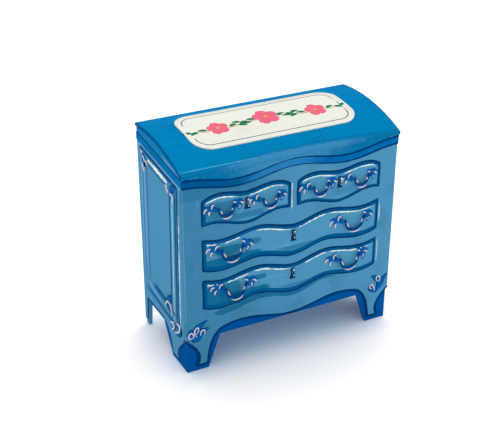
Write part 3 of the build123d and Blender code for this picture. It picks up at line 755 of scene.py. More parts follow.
class DresserStrokes(bpy.types.PropertyGroup):
    """Sizes of the drawn strokes and of the bails"""

    line_width: length_setting("Line width", "Width of the dark lines", 1.15)
    line_rise: length_setting("Line rise", "How far a dark line stands proud", 0.14)
    border_top: length_setting("Border, top", "Band inside a drawer's upper edge", 1.7)
    border_bottom: length_setting("Border, bottom", "Band inside a wide drawer's lower edge", 2.5)
    border_small: length_setting("Border, small", "Band inside a small drawer's lower edge", 1.5)
    border_left: length_setting("Border, left", "Band inside a drawer's left edge", 1.8)
    border_right: length_setting("Border, right", "Band inside a drawer's right edge", 1.5)
    pale_width: length_setting("Pale width", "Width of the pale highlights", 1.0)
    bail_thin: length_setting("Bail, ends", "Width of a bail at its ends", 0.75)
    bail_wide: length_setting("Bail, middle", "Width of a bail at its lowest point", 1.7)
    bail_depth: length_setting("Bail, depth", "Front to back of a bail at its lowest point", 1.4)


class DresserStage(bpy.types.PropertyGroup):
    """Camera and light"""

    azimuth: bpy.props.FloatProperty(
        name="Azimuth", description="Camera's turn from the front", default=radians(-27.085), subtype="ANGLE"
    )
    elevation: bpy.props.FloatProperty(
        name="Elevation", description="Camera's rise above level", default=radians(27.605), subtype="ANGLE"
    )
    distance: length_setting("Distance", "Camera to its target", 493.03)
    target: bpy.props.FloatVectorProperty(
        name="Target",
        description="Point the camera looks at",
        default=(-12.93 * MM, 1.42 * MM, 56.66 * MM),
        unit="LENGTH",
        subtype="TRANSLATION",
    )
    lens: bpy.props.FloatProperty(
        name="Lens", description="Focal length, in millimetres", default=77.64, unit="CAMERA"
    )
    sky: bpy.props.FloatProperty(name="Sky", description="Strength of the light from all round", default=0.85)
    lamp: bpy.props.FloatProperty(name="Lamp", description="Strength of the soft lamp above", default=0.9)


def strokes_in_mm(scene):
    """The stroke sizes as a plain dict, in millimetres."""
    sizes = scene.dresser_strokes
    return {name: getattr(sizes, name) / MM for name in DresserStrokes.__annotations__}


def stroke_material(name, paint, stretch=ANY_WAY, variety=0.2, roughness=0.42):
    """Paint of a drawn stroke, made the first time it is asked for."""
    return bpy.data.materials.get(name) or paint_material(
        name, paint, stretch=stretch, variety=variety, roughness=roughness
    )


# Operators
class DRESSER_OT_stage(bpy.types.Operator):
    """Pale floor, soft light from all round and a lamp above, and the camera"""

    bl_idname = "dresser.stage"
    bl_label = "Stage"

    SKY = (0.9, 0.97, 1.0)
    WHITE = (1.0, 1.0, 1.0)
    LAMP_COLOUR = (1.0, 0.98, 0.95)
    LAMP_FROM = (0.25, 0.35, 1.0)
    LAMP_ANGLE = radians(50)  # a wide lamp, for soft shadows
    FLOOR_REACH = 4.0  # in metres
    FLOOR_ROUGHNESS, FLOOR_SHEEN = 0.9, 0.1
    # How much brighter the floor looks than it is, so that it is white away from the shadow
    FLOOR_GAIN = (1.39, 1.265, 1.21)
    # Painted shadow on the floor: its colour turns darker and bluer close to the dresser,
    # for the blue that the paint throws there, and where
    PAINTED_SHADOW_TINT = (0.6, 0.79, 0.94)
    SHADOW = {
        "centre": (-0.06 * X_OUT, 0, 0),
        "half_size": (0.88 * X_OUT, -1.15 * Y_FRONT, FAR),
        "edge": 0.4,
        "ragged": 0.0,
        "round": 0.0,
    }
    SENSOR_WIDTH = 36  # in millimetres
    CLIP_START, CLIP_END = 0.01, 20  # in metres

    def execute(self, context):
        scene, stage = context.scene, context.scene.dresser_stage
        self.light(scene, stage)
        self.floor(scene)
        self.camera(scene, stage)
        scene.view_settings.view_transform = "Standard"
        return {"FINISHED"}

    @staticmethod
    def seen(tree):
        """1 for a ray from the camera, also by mirror or glass, and 0 for light that falls on things."""
        rays = tree.nodes.new("ShaderNodeLightPath").outputs
        direct = scalar(tree, "MAXIMUM", rays["Is Camera Ray"], rays["Is Glossy Ray"])
        return scalar(tree, "MAXIMUM", direct, rays["Is Transmission Ray"])

    def light(self, scene, stage):
        """A sky that lights with its own colour and looks white, and the lamp."""
        world = bpy.data.worlds.new("Studio")
        world.use_nodes = True
        tree = world.node_tree
        background = tree.nodes["Background"]
        seen = self.seen(tree)
        tree.links.new(mix(tree, seen, self.SKY, self.WHITE), background.inputs["Color"])
        strength = scalar(tree, "MULTIPLY_ADD", seen, 1 - stage.sky, stage.sky)
        tree.links.new(strength, background.inputs["Strength"])
        scene.world = world
        lamp = bpy.data.lights.new("Soft_Lamp", "SUN")
        lamp.energy = stage.lamp
        lamp.angle = self.LAMP_ANGLE
        lamp.color = self.LAMP_COLOUR
        made = bpy.data.objects.new("Soft_Lamp", lamp)
        made.rotation_euler = Vector(self.LAMP_FROM).to_track_quat("Z", "Y").to_euler()
        scene.collection.objects.link(made)

    def floor(self, scene):
        """A floor that looks brighter than it is, apart from a bluish shadow painted into its colour close to
        the dresser.
        """
        material, tree, shader, position = new_material("Floor")
        floor = tuple(scene.dresser_colours.floor)
        bright = tuple(value * gain for value, gain in zip(floor, self.FLOOR_GAIN))
        tinted = tuple(value * share for value, share in zip(bright, self.PAINTED_SHADOW_TINT))
        # painted shadow: inside this patch the floor's colour is darker and bluer
        close = group(tree, "patch", position=position, **self.SHADOW)["Mask"]
        looks = mix(tree, close, bright, tinted)
        tree.links.new(mix(tree, self.seen(tree), floor, looks), shader.inputs["Base Color"])
        shader.inputs["Roughness"].default_value = self.FLOOR_ROUGHNESS
        shader.inputs["Specular IOR Level"].default_value = self.FLOOR_SHEEN
        mesh = bpy.data.meshes.new("Floor")
        reach = self.FLOOR_REACH
        corners = [(-reach, -reach, 0), (reach, -reach, 0), (reach, reach, 0), (-reach, reach, 0)]
        mesh.from_pydata(corners, [], [(0, 1, 2, 3)])
        mesh.materials.append(material)
        made = bpy.data.objects.new("Floor", mesh)
        scene.collection.objects.link(made)

    def camera(self, scene, stage):
        """The camera, turned and raised round its target."""
        lens = bpy.data.cameras.new("Camera")
        lens.lens, lens.sensor_width = stage.lens, self.SENSOR_WIDTH
        lens.clip_start, lens.clip_end = self.CLIP_START, self.CLIP_END
        made = bpy.data.objects.new("Camera", lens)
        flat = cos(stage.elevation)
        back = Vector((sin(stage.azimuth) * flat, -cos(stage.azimuth) * flat, sin(stage.elevation)))
        made.location = Vector(stage.target) + back * stage.distance
        made.rotation_euler = back.to_track_quat("Z", "Y").to_euler()
        scene.collection.objects.link(made)
        scene.camera = made


class DRESSER_OT_paint_front(bpy.types.Operator):
    """Brushed paint on the front frame, the foot board and the strips under the top"""

    bl_idname = "dresser.paint_front"
    bl_label = "Paint Front"

    RAILS = ("top_rail", "upper_rail", "lower_rail", "divider", "apron")
    STILES = ("left_stile", "right_stile")
    ACROSS = {"axis": (0.75 / X_OUT, 0, 0), "offset": 0.75}  # from the left colour to the right one
    # Where paint has rubbed off: down the left edge, and along the cornice's upper edge
    EDGE_WEAR = {"low": (-X_OUT, Y_FRONT, -FAR), "high": (FAR, FAR, FAR), "width": 2.2, "amount": 0.14}
    CORNICE_WEAR = {
        "low": (-FAR, Y_FRONT - 0.45, -FAR),
        "high": (FAR, FAR, Z_CORNICE),
        "width": 2.6,
        "amount": 0.3,
    }
    # Patches: strength, centre, half size, and how soft and how ragged the edge is
    # TEAL_CORNER is a patch of painted shade on the top rail, under the band
    TEAL_CORNER = (0.4, (-38, Y_FRONT, 92), (22, 9, 4.5), 0.3, 0.5)
    LIGHT_EDGES = [(0.4, (x, Y_FRONT, 58), (0.4, 0.4, 36), 0.3, 2.4) for x in (-X_OUT, X_OUT)]
    CORNICE_MIDDLE = (1.0, (-3, Y_FRONT, Z_CORNICE), (22, FAR, FAR), 0.5, 0.8)
    BAND_LEFT = (1.0, (-X_OUT, Y_FRONT, Z_CORNICE), (32, FAR, FAR), 0.3, 0.5)
    BAND_MIDDLE = (0.85, (-6, Y_FRONT, Z_CORNICE), (15, FAR, FAR), 0.5, 0.8)

    def execute(self, context):
        paints = context.scene.dresser_colours
        left, right = tuple(paints.front_left), tuple(paints.front_right)
        corner = patch(paints.teal, *self.TEAL_CORNER)
        edges = [patch(paints.light, *edge) for edge in self.LIGHT_EDGES]
        brushed = {"worn": [(lighter(right, 0.3), self.EDGE_WEAR)], "variety": 0.26, **self.ACROSS}
        dress(self.RAILS, paint_material("Front Paint", left, right, patches=[corner], **brushed))
        upright = {"stretch": ALONG_Z, "patches": [corner, *edges], **brushed}
        dress(self.STILES, paint_material("Stile Paint", left, right, **upright))
        deep = tuple(paints.foot)
        foot = paint_material("Foot Paint", deep, lighter(deep, 0.08), variety=0.2, **self.ACROSS)
        dress(["foot_board"], foot)
        cornice = {
            "patches": [patch(paints.crown_middle, *self.CORNICE_MIDDLE)],
            "worn": [(paints.worn, self.CORNICE_WEAR)],
        }
        dress(["front_crown"], paint_material("Cornice Paint", paints.crown, variety=0.4, **cornice))
        ends = [patch(paints.band_left, *self.BAND_LEFT), patch(paints.band_middle, *self.BAND_MIDDLE)]
        dress(["front_band"], paint_material("Band Paint", paints.band, patches=ends, variety=0.2))
        return {"FINISHED"}


class DRESSER_OT_paint_sides(bpy.types.Operator):
    """Brushed paint on the sides, the back and the top"""

    bl_idname = "dresser.paint_sides"
    bl_label = "Paint Sides"

    CLIMB = SIDE_BAND_CLIMB / (Y_BACK - Y_FRONT)
    FEET = (1.0, (0, Y_FRONT, 0), (FAR, Y_REAR - Y_FRONT - 0.2, Z_SKIRT + 0.5), 0.01, 0.0)
    EDGE_WEAR = {"low": (-X_OUT, Y_FRONT, -FAR), "high": (FAR, FAR, FAR), "width": 1.2, "amount": 0.2}
    CRESCENT = 30  # half height of the paint above the band, which reaches past the top
    # How far the cornice's paint runs over the top's front edge, all along and in the middle
    OVER, BULGE = 2.2, 4.2
    TOP_BLEND = 22.0  # depth over which the top changes from its front colour to the other one

    def execute(self, context):
        paints = context.scene.dresser_colours
        side = tuple(paints.side)
        self.fields(paints, side)
        self.frames(paints, side)
        self.ring(paints, side)
        dress(["back_panel"], paint_material("Back Paint", side, variety=0.18))
        band = paint_material("Side Band Paint", paints.side_band, stretch=ALONG_Y, variety=0.12)
        dress(["side_bands"], band)
        self.top(paints)
        return {"FINISHED"}

    def fields(self, paints, side):
        """The panels behind the frames, with deep blue feet."""
        feet = patch(paints.foot, *self.FEET)
        field = paint_material("Side Field Paint", side, stretch=ALONG_Z, patches=[feet], variety=0.06)
        dress(["left_side_panel", "right_side_panel"], field)

    def frames(self, paints, side):
        """The frames: a crescent of other paint under the top, above a line that climbs with the side band, a
        light strip at its front end, and a teal one of painted shade above the arch."""
        low, high = node_box("side_bands")
        level = (low[2] + high[2]) / 2 - self.CLIMB * (Y_FRONT + Y_BACK) / 2
        patches = [
            patch(paints.crescent, 0.95, (0, 0, level + self.CRESCENT), (FAR, FAR, self.CRESCENT), 0.01, 0.0),
            patch(paints.light, 0.5, (0, -15, level + 2.6), (FAR, 11, 1.1), 0.35, 0.5),
            # teal strip of painted shade above the arch
            patch(paints.teal, 0.3, (0, 8, 22.0), (FAR, 14, 2.2), 0.3, 0.6),
        ]
        brushed = {"patches": patches, "worn": [(paints.worn, self.EDGE_WEAR)], "climb": self.CLIMB}
        frame_paint = paint_material("Side Frame Paint", side, stretch=ALONG_Z, variety=0.1, **brushed)
        dress(["left_side_frame", "right_side_frame"], frame_paint)

    def top(self, paints):
        """The top, with painted shade on its ends. The cornice's paint runs over its front edge, further in
        the middle, with a rubbed line at the left where it ends."""
        low, high = node_box("top_panel")
        y_edge = low[1]
        y_line = y_edge + self.OVER
        y_middle, z_middle, radius = BOW
        z_line = z_middle + (radius**2 - (y_line - y_middle) ** 2) ** 0.5
        patches = [
            patch(paints.crown, 1.0, (0, y_edge, z_line), (FAR, self.OVER, FAR), 0.03, 0.1),
            patch(paints.crown, 1.0, (5, y_edge, z_line), (50, self.BULGE, FAR), 0.04, 0.12, 1.0),
            patch(paints.crown_middle, 0.8, (0, y_edge, z_line), (32, 0.7 * self.BULGE, FAR), 0.3, 0.6, 1.0),
            patch(paints.worn, 0.8, (-0.7 * X_OUT, y_line, z_line), (0.3 * X_OUT, 0.22, FAR), 0.5, 1.0),
        ]
        # painted shade on the top's end faces
        for x in (low[0], high[0]):
            patches.append(patch(paints.shade, 0.9, (x, 0, 100), (0.45, FAR, FAR), 0.1, 0.0))
        way = 1 / self.TOP_BLEND
        blend = {"axis": (0, way, 0), "offset": -y_edge * way}
        brushed = {"patches": patches, "variety": 0.3, "roughness": 0.4}
        dress(["top_panel"], paint_material("Top Paint", paints.top_front, paints.top, **blend, **brushed))

    @staticmethod
    def ring(paints, side):
        """The frame round a side's field: dark and pale strips down its front arm, thin ones down its rear
        arm, and dark ones along its other two arms."""
        start = RING_SLOPE * RING_NEAR  # levels are taken at Y 0, where the climb begins
        low, high = RING_LOW - start, RING_HIGH - start
        shift = RING_LEAN * RING_HIGH  # and places in Y are taken at Z 0
        near, far = RING_NEAR + shift, RING_FAR + shift
        middle, tall = (low + high) / 2, (high - low) / 2
        below = RING_LEAN * RING_LOW
        dark, light, pale = paints.border, paints.light, paints.pale
        strips = [
            patch(dark, 0.95, (0, 0, high - 0.6), (FAR, FAR, 0.7), 0.2, 0.3),
            patch(dark, 0.95, (0, near + 1.4, middle), (FAR, 1.1, tall - 1), 0.2, 0.2),
            patch(dark, 0.95, (0, near + 7.2, middle), (FAR, 0.75, tall - 4), 0.2, 0.2),
            patch(pale, 0.5, (0, near + 4.6, middle + 2), (FAR, 0.5, tall - 9), 0.4, 0.9),
            patch(light, 0.7, (0, far - 1.2, middle + 4), (FAR, 0.45, tall - 10), 0.3, 0.6),
            patch(dark, 0.7, (0, far - 2.7, middle), (FAR, 0.4, tall - 5), 0.3, 0.4),
            patch(light, 0.8, (0, far - 4.0, middle + 4), (FAR, 0.45, tall - 10), 0.3, 0.6),
            patch(dark, 0.6, (0, far - 5.2, middle), (FAR, 0.35, tall - 5), 0.2, 0.3),
            patch(dark, 0.85, (0, below, low + 6.6), (FAR, 13, 0.9), 0.2, 0.3),
            patch(dark, 0.85, (0, below, low + 1.0), (FAR, 20, 1.2), 0.2, 0.3),
        ]
        brushed = {"patches": strips, "climb": RING_SLOPE, "lean": RING_LEAN}
        ring_paint = paint_material("Side Ring Paint", side, stretch=ALONG_Z, variety=0.08, **brushed)
        dress(["left_side_moulding", "right_side_moulding"], ring_paint)


class DRESSER_OT_paint_drawers(bpy.types.Operator):
    """Brushed paint with teal patches of painted shade on the drawer fronts, and bare wood behind them"""

    bl_idname = "dresser.paint_drawers"
    bl_label = "Paint Drawers"

    # Teal patches of painted shade on each drawer: strength, centre in X and Z, half width and half height,
    # how soft and how ragged the edge is, and how round the patch is
    TEAL = {
        "small_left": (
            (0.6, (-37.3, 79.6), (8.2, 5.2), 0.12, 0.5, 0.4),
            (0.6, (-23, 75.6), (8, 1.6), 0.2, 0.6, 0.3),
        ),
        "small_right": ((0.3, (30, 76.5), (10, 2), 0.4, 0.9, 0.5),),
        "middle": (
            (0.95, (-31, 54.2), (14.5, 3.0), 0.12, 0.4, 0.2),
            (0.85, (-33, 60.2), (5.6, 2.6), 0.2, 0.5, 0.4),
            (0.7, (-20, 61.5), (3.2, 1.6), 0.2, 0.4, 0.8),
            (0.6, (6, 53.0), (18, 1.5), 0.3, 0.7, 0.4),
        ),
        "lower": (
            (0.95, (-40, 37.5), (5.4, 6.0), 0.12, 0.4, 0.3),
            (0.95, (-25, 34.8), (12.5, 3.0), 0.12, 0.5, 0.2),
            (0.8, (-31.5, 40.0), (5, 3.4), 0.2, 0.5, 0.6),
            (0.8, (-17, 42.3), (3.2, 1.3), 0.2, 0.4, 0.2),
            (0.5, (6, 33.0), (14, 1.4), 0.3, 0.7, 0.4),
        ),
    }
    TEAL_DEPTH = 9  # half depth of each patch, more than a front's relief
    ACROSS = {"axis": (0.5 / X_OUT, 0, 0), "offset": 0.5}  # from one colour to a lighter one, left to right
    INSIDE = ("lower_dust_board", "upper_dust_board", "partition", "drawer_guides", "drawer_stops")
    UNDER_BLEND = 0.05  # height over which the underside's paint ends

    def teal(self, paints, name):
        """The teal patches of painted shade on one drawer."""
        return [
            patch(paints.teal, strength, (x, Y_FIELD, z), (width, self.TEAL_DEPTH, height), *edge)
            for strength, (x, z), (width, height), *edge in self.TEAL[name]
        ]

    def execute(self, context):
        paints = context.scene.dresser_colours
        bare = wood_material("Bare Wood", paints.wood, paints.wood_dark)
        navy = stroke_material("Keyhole Paint", paints.keyhole)
        face = tuple(paints.drawer)
        for name in DRAWERS:
            brushed = {"patches": self.teal(paints, name), "variety": 0.3, **self.ACROSS}
            front = paint_material(f"{name} Front Paint", face, lighter(face, 0.07), **brushed)
            dress([f"{name}_front"], front)
            dress([f"{name}_{piece}" for piece in ("sides", "back", "bottom")], bare)
            dress([f"{name}_keyhole_plate"], navy)
        dress(self.INSIDE, bare)
        low, high = node_box("bottom_board")
        way = 1 / self.UNDER_BLEND
        upward = {"axis": (0, 0, way), "offset": -way * (low[2] + high[2]) / 2}
        under = paint_material("Underside Paint", paints.foot, paints.wood, variety=0.2, **upward)
        dress(["bottom_board", "corner_blocks"], under)
        return {"FINISHED"}


class DRESSER_OT_drawer_lines(bpy.types.Operator):
    """Border, dark outline and pale highlights on each drawer front"""

    bl_idname = "dresser.drawer_lines"
    bl_label = "Drawer Lines"

    # Where the pale highlights run under each upper edge, as shares of the drawer's width
    HIGHLIGHTS = {
        "small_left": ((0.03, 0.39), (0.52, 0.92)),
        "small_right": ((0.05, 0.45), (0.54, 0.94)),
        "middle": ((0.02, 0.075), (0.12, 0.2), (0.29, 0.49), (0.53, 0.69), (0.7, 0.965)),
        "lower": ((0.02, 0.1), (0.13, 0.25), (0.28, 0.49), (0.57, 0.7), (0.71, 0.965)),
    }

    # How far in from a drawer's edge its border and its dark line start
    BORDER_INSET, LINE_INSET = 0.1, 0.32
    BORDER_STEPS, BORDER_UNEVEN = 6, 0.12
    # How far the border stands proud at its inner edge, how much more at its outer one, and how deep it sinks
    SKIN_EDGE, SKIN, SKIN_SUNK = 0.01, 0.07, 0.12
    LINE_RISE = 0.04  # added to the dark line's own rise, since it lies on the border
    HIGHLIGHT_DROP, HIGHLIGHT_SWING, HIGHLIGHT_RISE = 0.35, 0.16, 0.11
    HIGHLIGHT_POINTS, FEWEST_POINTS = 110, 24  # on a stroke as long as the drawer, and on a short one

    def execute(self, context):
        paints, sizes = context.scene.dresser_colours, strokes_in_mm(context.scene)
        border = paint_material("Drawer Border Paint", paints.border, stretch=ANY_WAY, variety=0.22)
        line = stroke_material("Line Paint", paints.line)
        pale = stroke_material("Pale Paint", paints.pale)
        for seed, name in enumerate(DRAWERS):
            face, body = DrawerFace(name), f"{name}_drawer"
            highlights = [
                self.highlight(face, sizes, start, end, seed * 10 + count)
                for count, (start, end) in enumerate(self.HIGHLIGHTS[name])
            ]
            make_piece(f"{name}_border", [self.border(face, sizes, seed)], border, body)
            make_piece(f"{name}_dark_line", [self.outline(face, sizes, seed)], line, body)
            make_piece(f"{name}_highlights", highlights, pale, body)
        return {"FINISHED"}

    def border(self, face, sizes, seed):
        """A thin skin over the bevel: steps from the outer loop to an uneven inner one, and back below."""
        outer = face.loop(*[self.BORDER_INSET] * 4)
        lower = "border_small" if face.small else "border_bottom"
        inner = face.loop(*[sizes[side] for side in ("border_top", lower, "border_left", "border_right")])
        inner = rounded(inner + self.BORDER_UNEVEN * wobble(len(inner), seed, 40)[:, None], 2)
        share = np.linspace(0, 1, self.BORDER_STEPS)[None, :, None]
        flat = outer[:, None] + share * (inner - outer)[:, None]
        height = face.height(flat[..., 0], flat[..., 1])
        skin = self.SKIN * (1 - share[..., 0] ** 4) + self.SKIN_EDGE
        over = np.concatenate([flat, (height + skin)[..., None]], axis=2)
        under = np.concatenate([flat, (height - self.SKIN_SUNK)[..., None]], axis=2)
        return on_front((np.concatenate([over, under[:, ::-1]], axis=1), True), Y_FRONT)

    def outline(self, face, sizes, seed):
        """A dark line just inside the edge, uneven in width."""
        loop = rounded(face.loop(*[self.LINE_INSET] * 4), 8)
        width = sizes["line_width"] * (1 + 0.4 * wobble(len(loop), seed + 5, 24))
        rise = sizes["line_rise"] + self.LINE_RISE
        return on_front(brush(loop, width, rise, face.height(*loop.T), closed=True), Y_FRONT)

    def highlight(self, face, sizes, start, end, seed):
        """A dry, ragged stroke of pale paint under the border's upper band."""
        count = max(self.FEWEST_POINTS, int(self.HIGHLIGHT_POINTS * (end - start)))
        x = np.linspace(face.place(start), face.place(end), count)
        swing = self.HIGHLIGHT_SWING * wobble(count, seed, 18)
        z = face.top(x) - sizes["border_top"] - self.HIGHLIGHT_DROP + swing
        ragged = 0.6 + 0.4 * wobble(count, seed + 50, 40)
        width = sizes["pale_width"] * ragged * taper(count, 0.12, 0.2, 0.2)
        return on_front(brush(pairs(x, z), width, self.HIGHLIGHT_RISE, face.height(x, z)), Y_FRONT)


class DRESSER_OT_pulls(bpy.types.Operator):
    """Leaf mounts and bails that are thick at the bottom, both with pale strokes of painted highlight"""

    bl_idname = "dresser.pulls"
    bl_label = "Pulls"

    # Leaves of a left (-1) and a right (1) mount, outwards and up from its post, on a wide drawer
    LEAVES = {
        -1: (
            (((0.3, 0.2), (2.2, 1.2), (4.4, 1.9), (6.2, -0.4)), 1.9),
            (((0.5, 0.0), (2.2, 0.2), (3.2, -1.2), (3.3, -3.2)), 1.9),
            (((0.6, -0.2), (1.8, 1.4), (1.2, 2.7), (-0.5, 3.4)), 1.7),
        ),
        1: (
            (((0.3, 0.3), (1.6, 1.6), (3.2, 1.4), (4.9, -0.1)), 2.2),
            (((0.7, 0.0), (2.0, -1.0), (2.1, -2.4), (1.0, -4.0)), 1.9),
            (((0.6, 0.5), (0.2, 1.9), (-0.6, 2.6), (-1.8, 2.6)), 1.9),
        ),
    }
    # The pale strokes on them, painted highlights
    HIGHLIGHT_COMMAS = {
        -1: (
            (((4.1, 1.4), (5.5, 0.9), (6.2, -0.9)), 0.7),
            (((2.4, -0.4), (3.3, -1.3), (3.2, -2.9)), 0.75),
            (((-0.3, 2.8), (1.1, 2.2), (1.4, 0.2)), 0.75),
        ),
        1: (
            (((2.6, 0.6), (3.6, 0.1), (4.2, -1.0)), 0.7),
            (((1.0, -0.5), (1.8, -1.4), (1.3, -2.7)), 0.7),
            (((-1.6, 2.2), (-0.5, 1.9), (0.0, 0.9)), 0.7),
        ),
    }
    WIDE_HALF = 5.0  # half width of the bail that they are drawn for
    # Painted highlights on a bail: from and to in degrees from its left end, distance outside its middle,
    # width
    BAIL_HIGHLIGHTS = ((10, 48, -0.75, 0.65), (64, 128, 0.8, 1.1), (152, 172, -0.7, 0.5))
    CRESCENT_POINTS, BAIL_POINTS = 18, 56
    THIN_DEPTH = 0.42  # half of a bail's depth at its ends
    POST_FOOT = ((-0.1, 1.25), (0.2, 1.25), (0.5, 0.8))  # distance from the front and radius

    def execute(self, context):
        paints, sizes = context.scene.dresser_colours, strokes_in_mm(context.scene)
        enamel = stroke_material("Pull Paint", paints.pull, variety=0.3, roughness=0.35)
        navy = stroke_material("Bail Paint", paints.bail, variety=0.3, roughness=0.35)
        pink = stroke_material("Pink Paint", paints.pink, variety=0.12)
        leaves = {name: [] for name in DRAWERS}
        strokes = {name: [] for name in DRAWERS}
        hinges = [joint for joint in frame["joints"] if joint["type"] == "hinge"]
        for seed, joint in enumerate(hinges):
            bail, drawer = joint["child"], joint["parent"].removesuffix("_drawer")
            pivot = np.array(joint["pos_m"]) / MM
            low, high = node_box(bail)
            half = (high[0] - low[0]) / 2 - PIN_END
            loop = pivot, half, pivot[2] - low[2] - WIRE_RADIUS
            make_piece(f"{bail}_loop", self.bail(loop, sizes), navy, bail, [bail])
            # pale strokes of painted highlight on the bail
            make_piece(f"{bail}_strokes", self.crescents(loop), pink, bail)
            for side in SIDES:
                draw = np.random.default_rng(seed * 2 + (side > 0))
                origin = (pivot[0] + side * (half + POST_OFFSET), pivot[2])
                scale = np.sqrt(half / self.WIDE_HALF) * draw.uniform(0.88, 1.0)
                place = {"origin": origin, "side": side, "scale": scale, "turn": draw.uniform(-0.2, 0.2)}
                leaves[drawer] += self.mount(pivot, place)
                # pale strokes of painted highlight on the leaves
                strokes[drawer] += [
                    on_front(comma(moved(points, **place), width, lift=0.42), Y_FIELD)
                    for points, width in self.HIGHLIGHT_COMMAS[side]
                ]
        for name in DRAWERS:
            body, mounts = f"{name}_drawer", f"{name}_pull_mounts"
            make_piece(f"{name}_pull_leaves", leaves[name], enamel, body, [mounts])
            make_piece(f"{name}_pull_strokes", strokes[name], pink, body)
        return {"FINISHED"}

    def mount(self, pivot, place):
        """Puffed leaves round a turned post with a round eye."""
        leaves = self.LEAVES[place["side"]]
        shells = [on_front(lobe(moved(points, **place), width), Y_FIELD) for points, width in leaves]
        stand = Y_FIELD - pivot[1]
        around = np.linspace(0, pi / 2 - 0.05, 8)
        eye = [(stand + POST_RADIUS * sin(angle), POST_RADIUS * cos(angle)) for angle in around]
        x, z = place["origin"]
        return [*shells, turned([*self.POST_FOOT, *eye], (x, Y_FIELD, z), (0, -1, 0))]

    @staticmethod
    def arc(loop, start, end, count, grow=0.0):
        """Part of a bail's half ellipse, from and to in degrees, as X and Z."""
        pivot, half, drop = loop
        angle = np.radians(np.linspace(start, end, count))
        return pairs(pivot[0] - (half + grow) * np.cos(angle), pivot[2] - (drop + grow) * np.sin(angle))

    def bail(self, loop, sizes):
        """A half ellipse of wire that widens to its lowest point, with a ball and a pin at each end."""
        pivot, half, _ = loop
        swell = np.sin(np.linspace(0, pi, self.BAIL_POINTS)) ** 2
        width = sizes["bail_thin"] + (sizes["bail_wide"] - sizes["bail_thin"]) * swell
        deep = self.THIN_DEPTH + (sizes["bail_depth"] / 2 - self.THIN_DEPTH) * swell
        shells = [on_front(brush(self.arc(loop, 0, 180, self.BAIL_POINTS), width, deep, sink=deep), pivot[1])]
        around = np.linspace(-pi / 2 + 0.06, pi / 2 - 0.5, 12)
        ball = [(BALL_RADIUS * sin(angle), BALL_RADIUS * cos(angle)) for angle in around]
        pin = [(BALL_RADIUS, PIN_RADIUS), (BALL_RADIUS + PIN_LENGTH, PIN_RADIUS)]
        for side in SIDES:
            shells.append(turned(ball + pin, pivot + np.array((side * half, 0, 0)), (side, 0, 0)))
        return shells

    def crescents(self, loop):
        """Painted highlights along a bail, beside its middle line: pale strokes."""
        full = taper(self.CRESCENT_POINTS, 0.4, 0.4, 0.15)
        shells = []
        for start, end, grow, width in self.BAIL_HIGHLIGHTS:
            path = self.arc(loop, start, end, self.CRESCENT_POINTS, grow)
            shells.append(on_front(brush(path, width * full, 0.42 * full, 0.15, sink=0.5), loop[0][1]))
        return shells


class DRESSER_OT_keyholes(bpy.types.Operator):
    """A pale glint beside each keyhole"""

    bl_idname = "dresser.keyholes"
    bl_label = "Keyholes"

    # Glints, as steps to the right and up from a keyhole's middle, each with its width
    GLINTS = (
        (((0.15, 2.1), (0.6, 1.7), (0.55, 0.9)), 0.5),
        (((0.3, -0.9), (0.6, -1.4), (0.55, -1.9)), 0.3),
    )

    def execute(self, context):
        pale = stroke_material("Pale Paint", context.scene.dresser_colours.pale)
        for name in DRAWERS:
            low, high = node_box(f"{name}_keyhole_plate")
            middle = ((low + high) / 2)[[0, 2]]
            glints = [
                on_front(comma(moved(points, middle), width, lift=0), low[1]) for points, width in self.GLINTS
            ]
            make_piece(f"{name}_keyhole_glints", glints, pale, f"{name}_drawer")
        return {"FINISHED"}


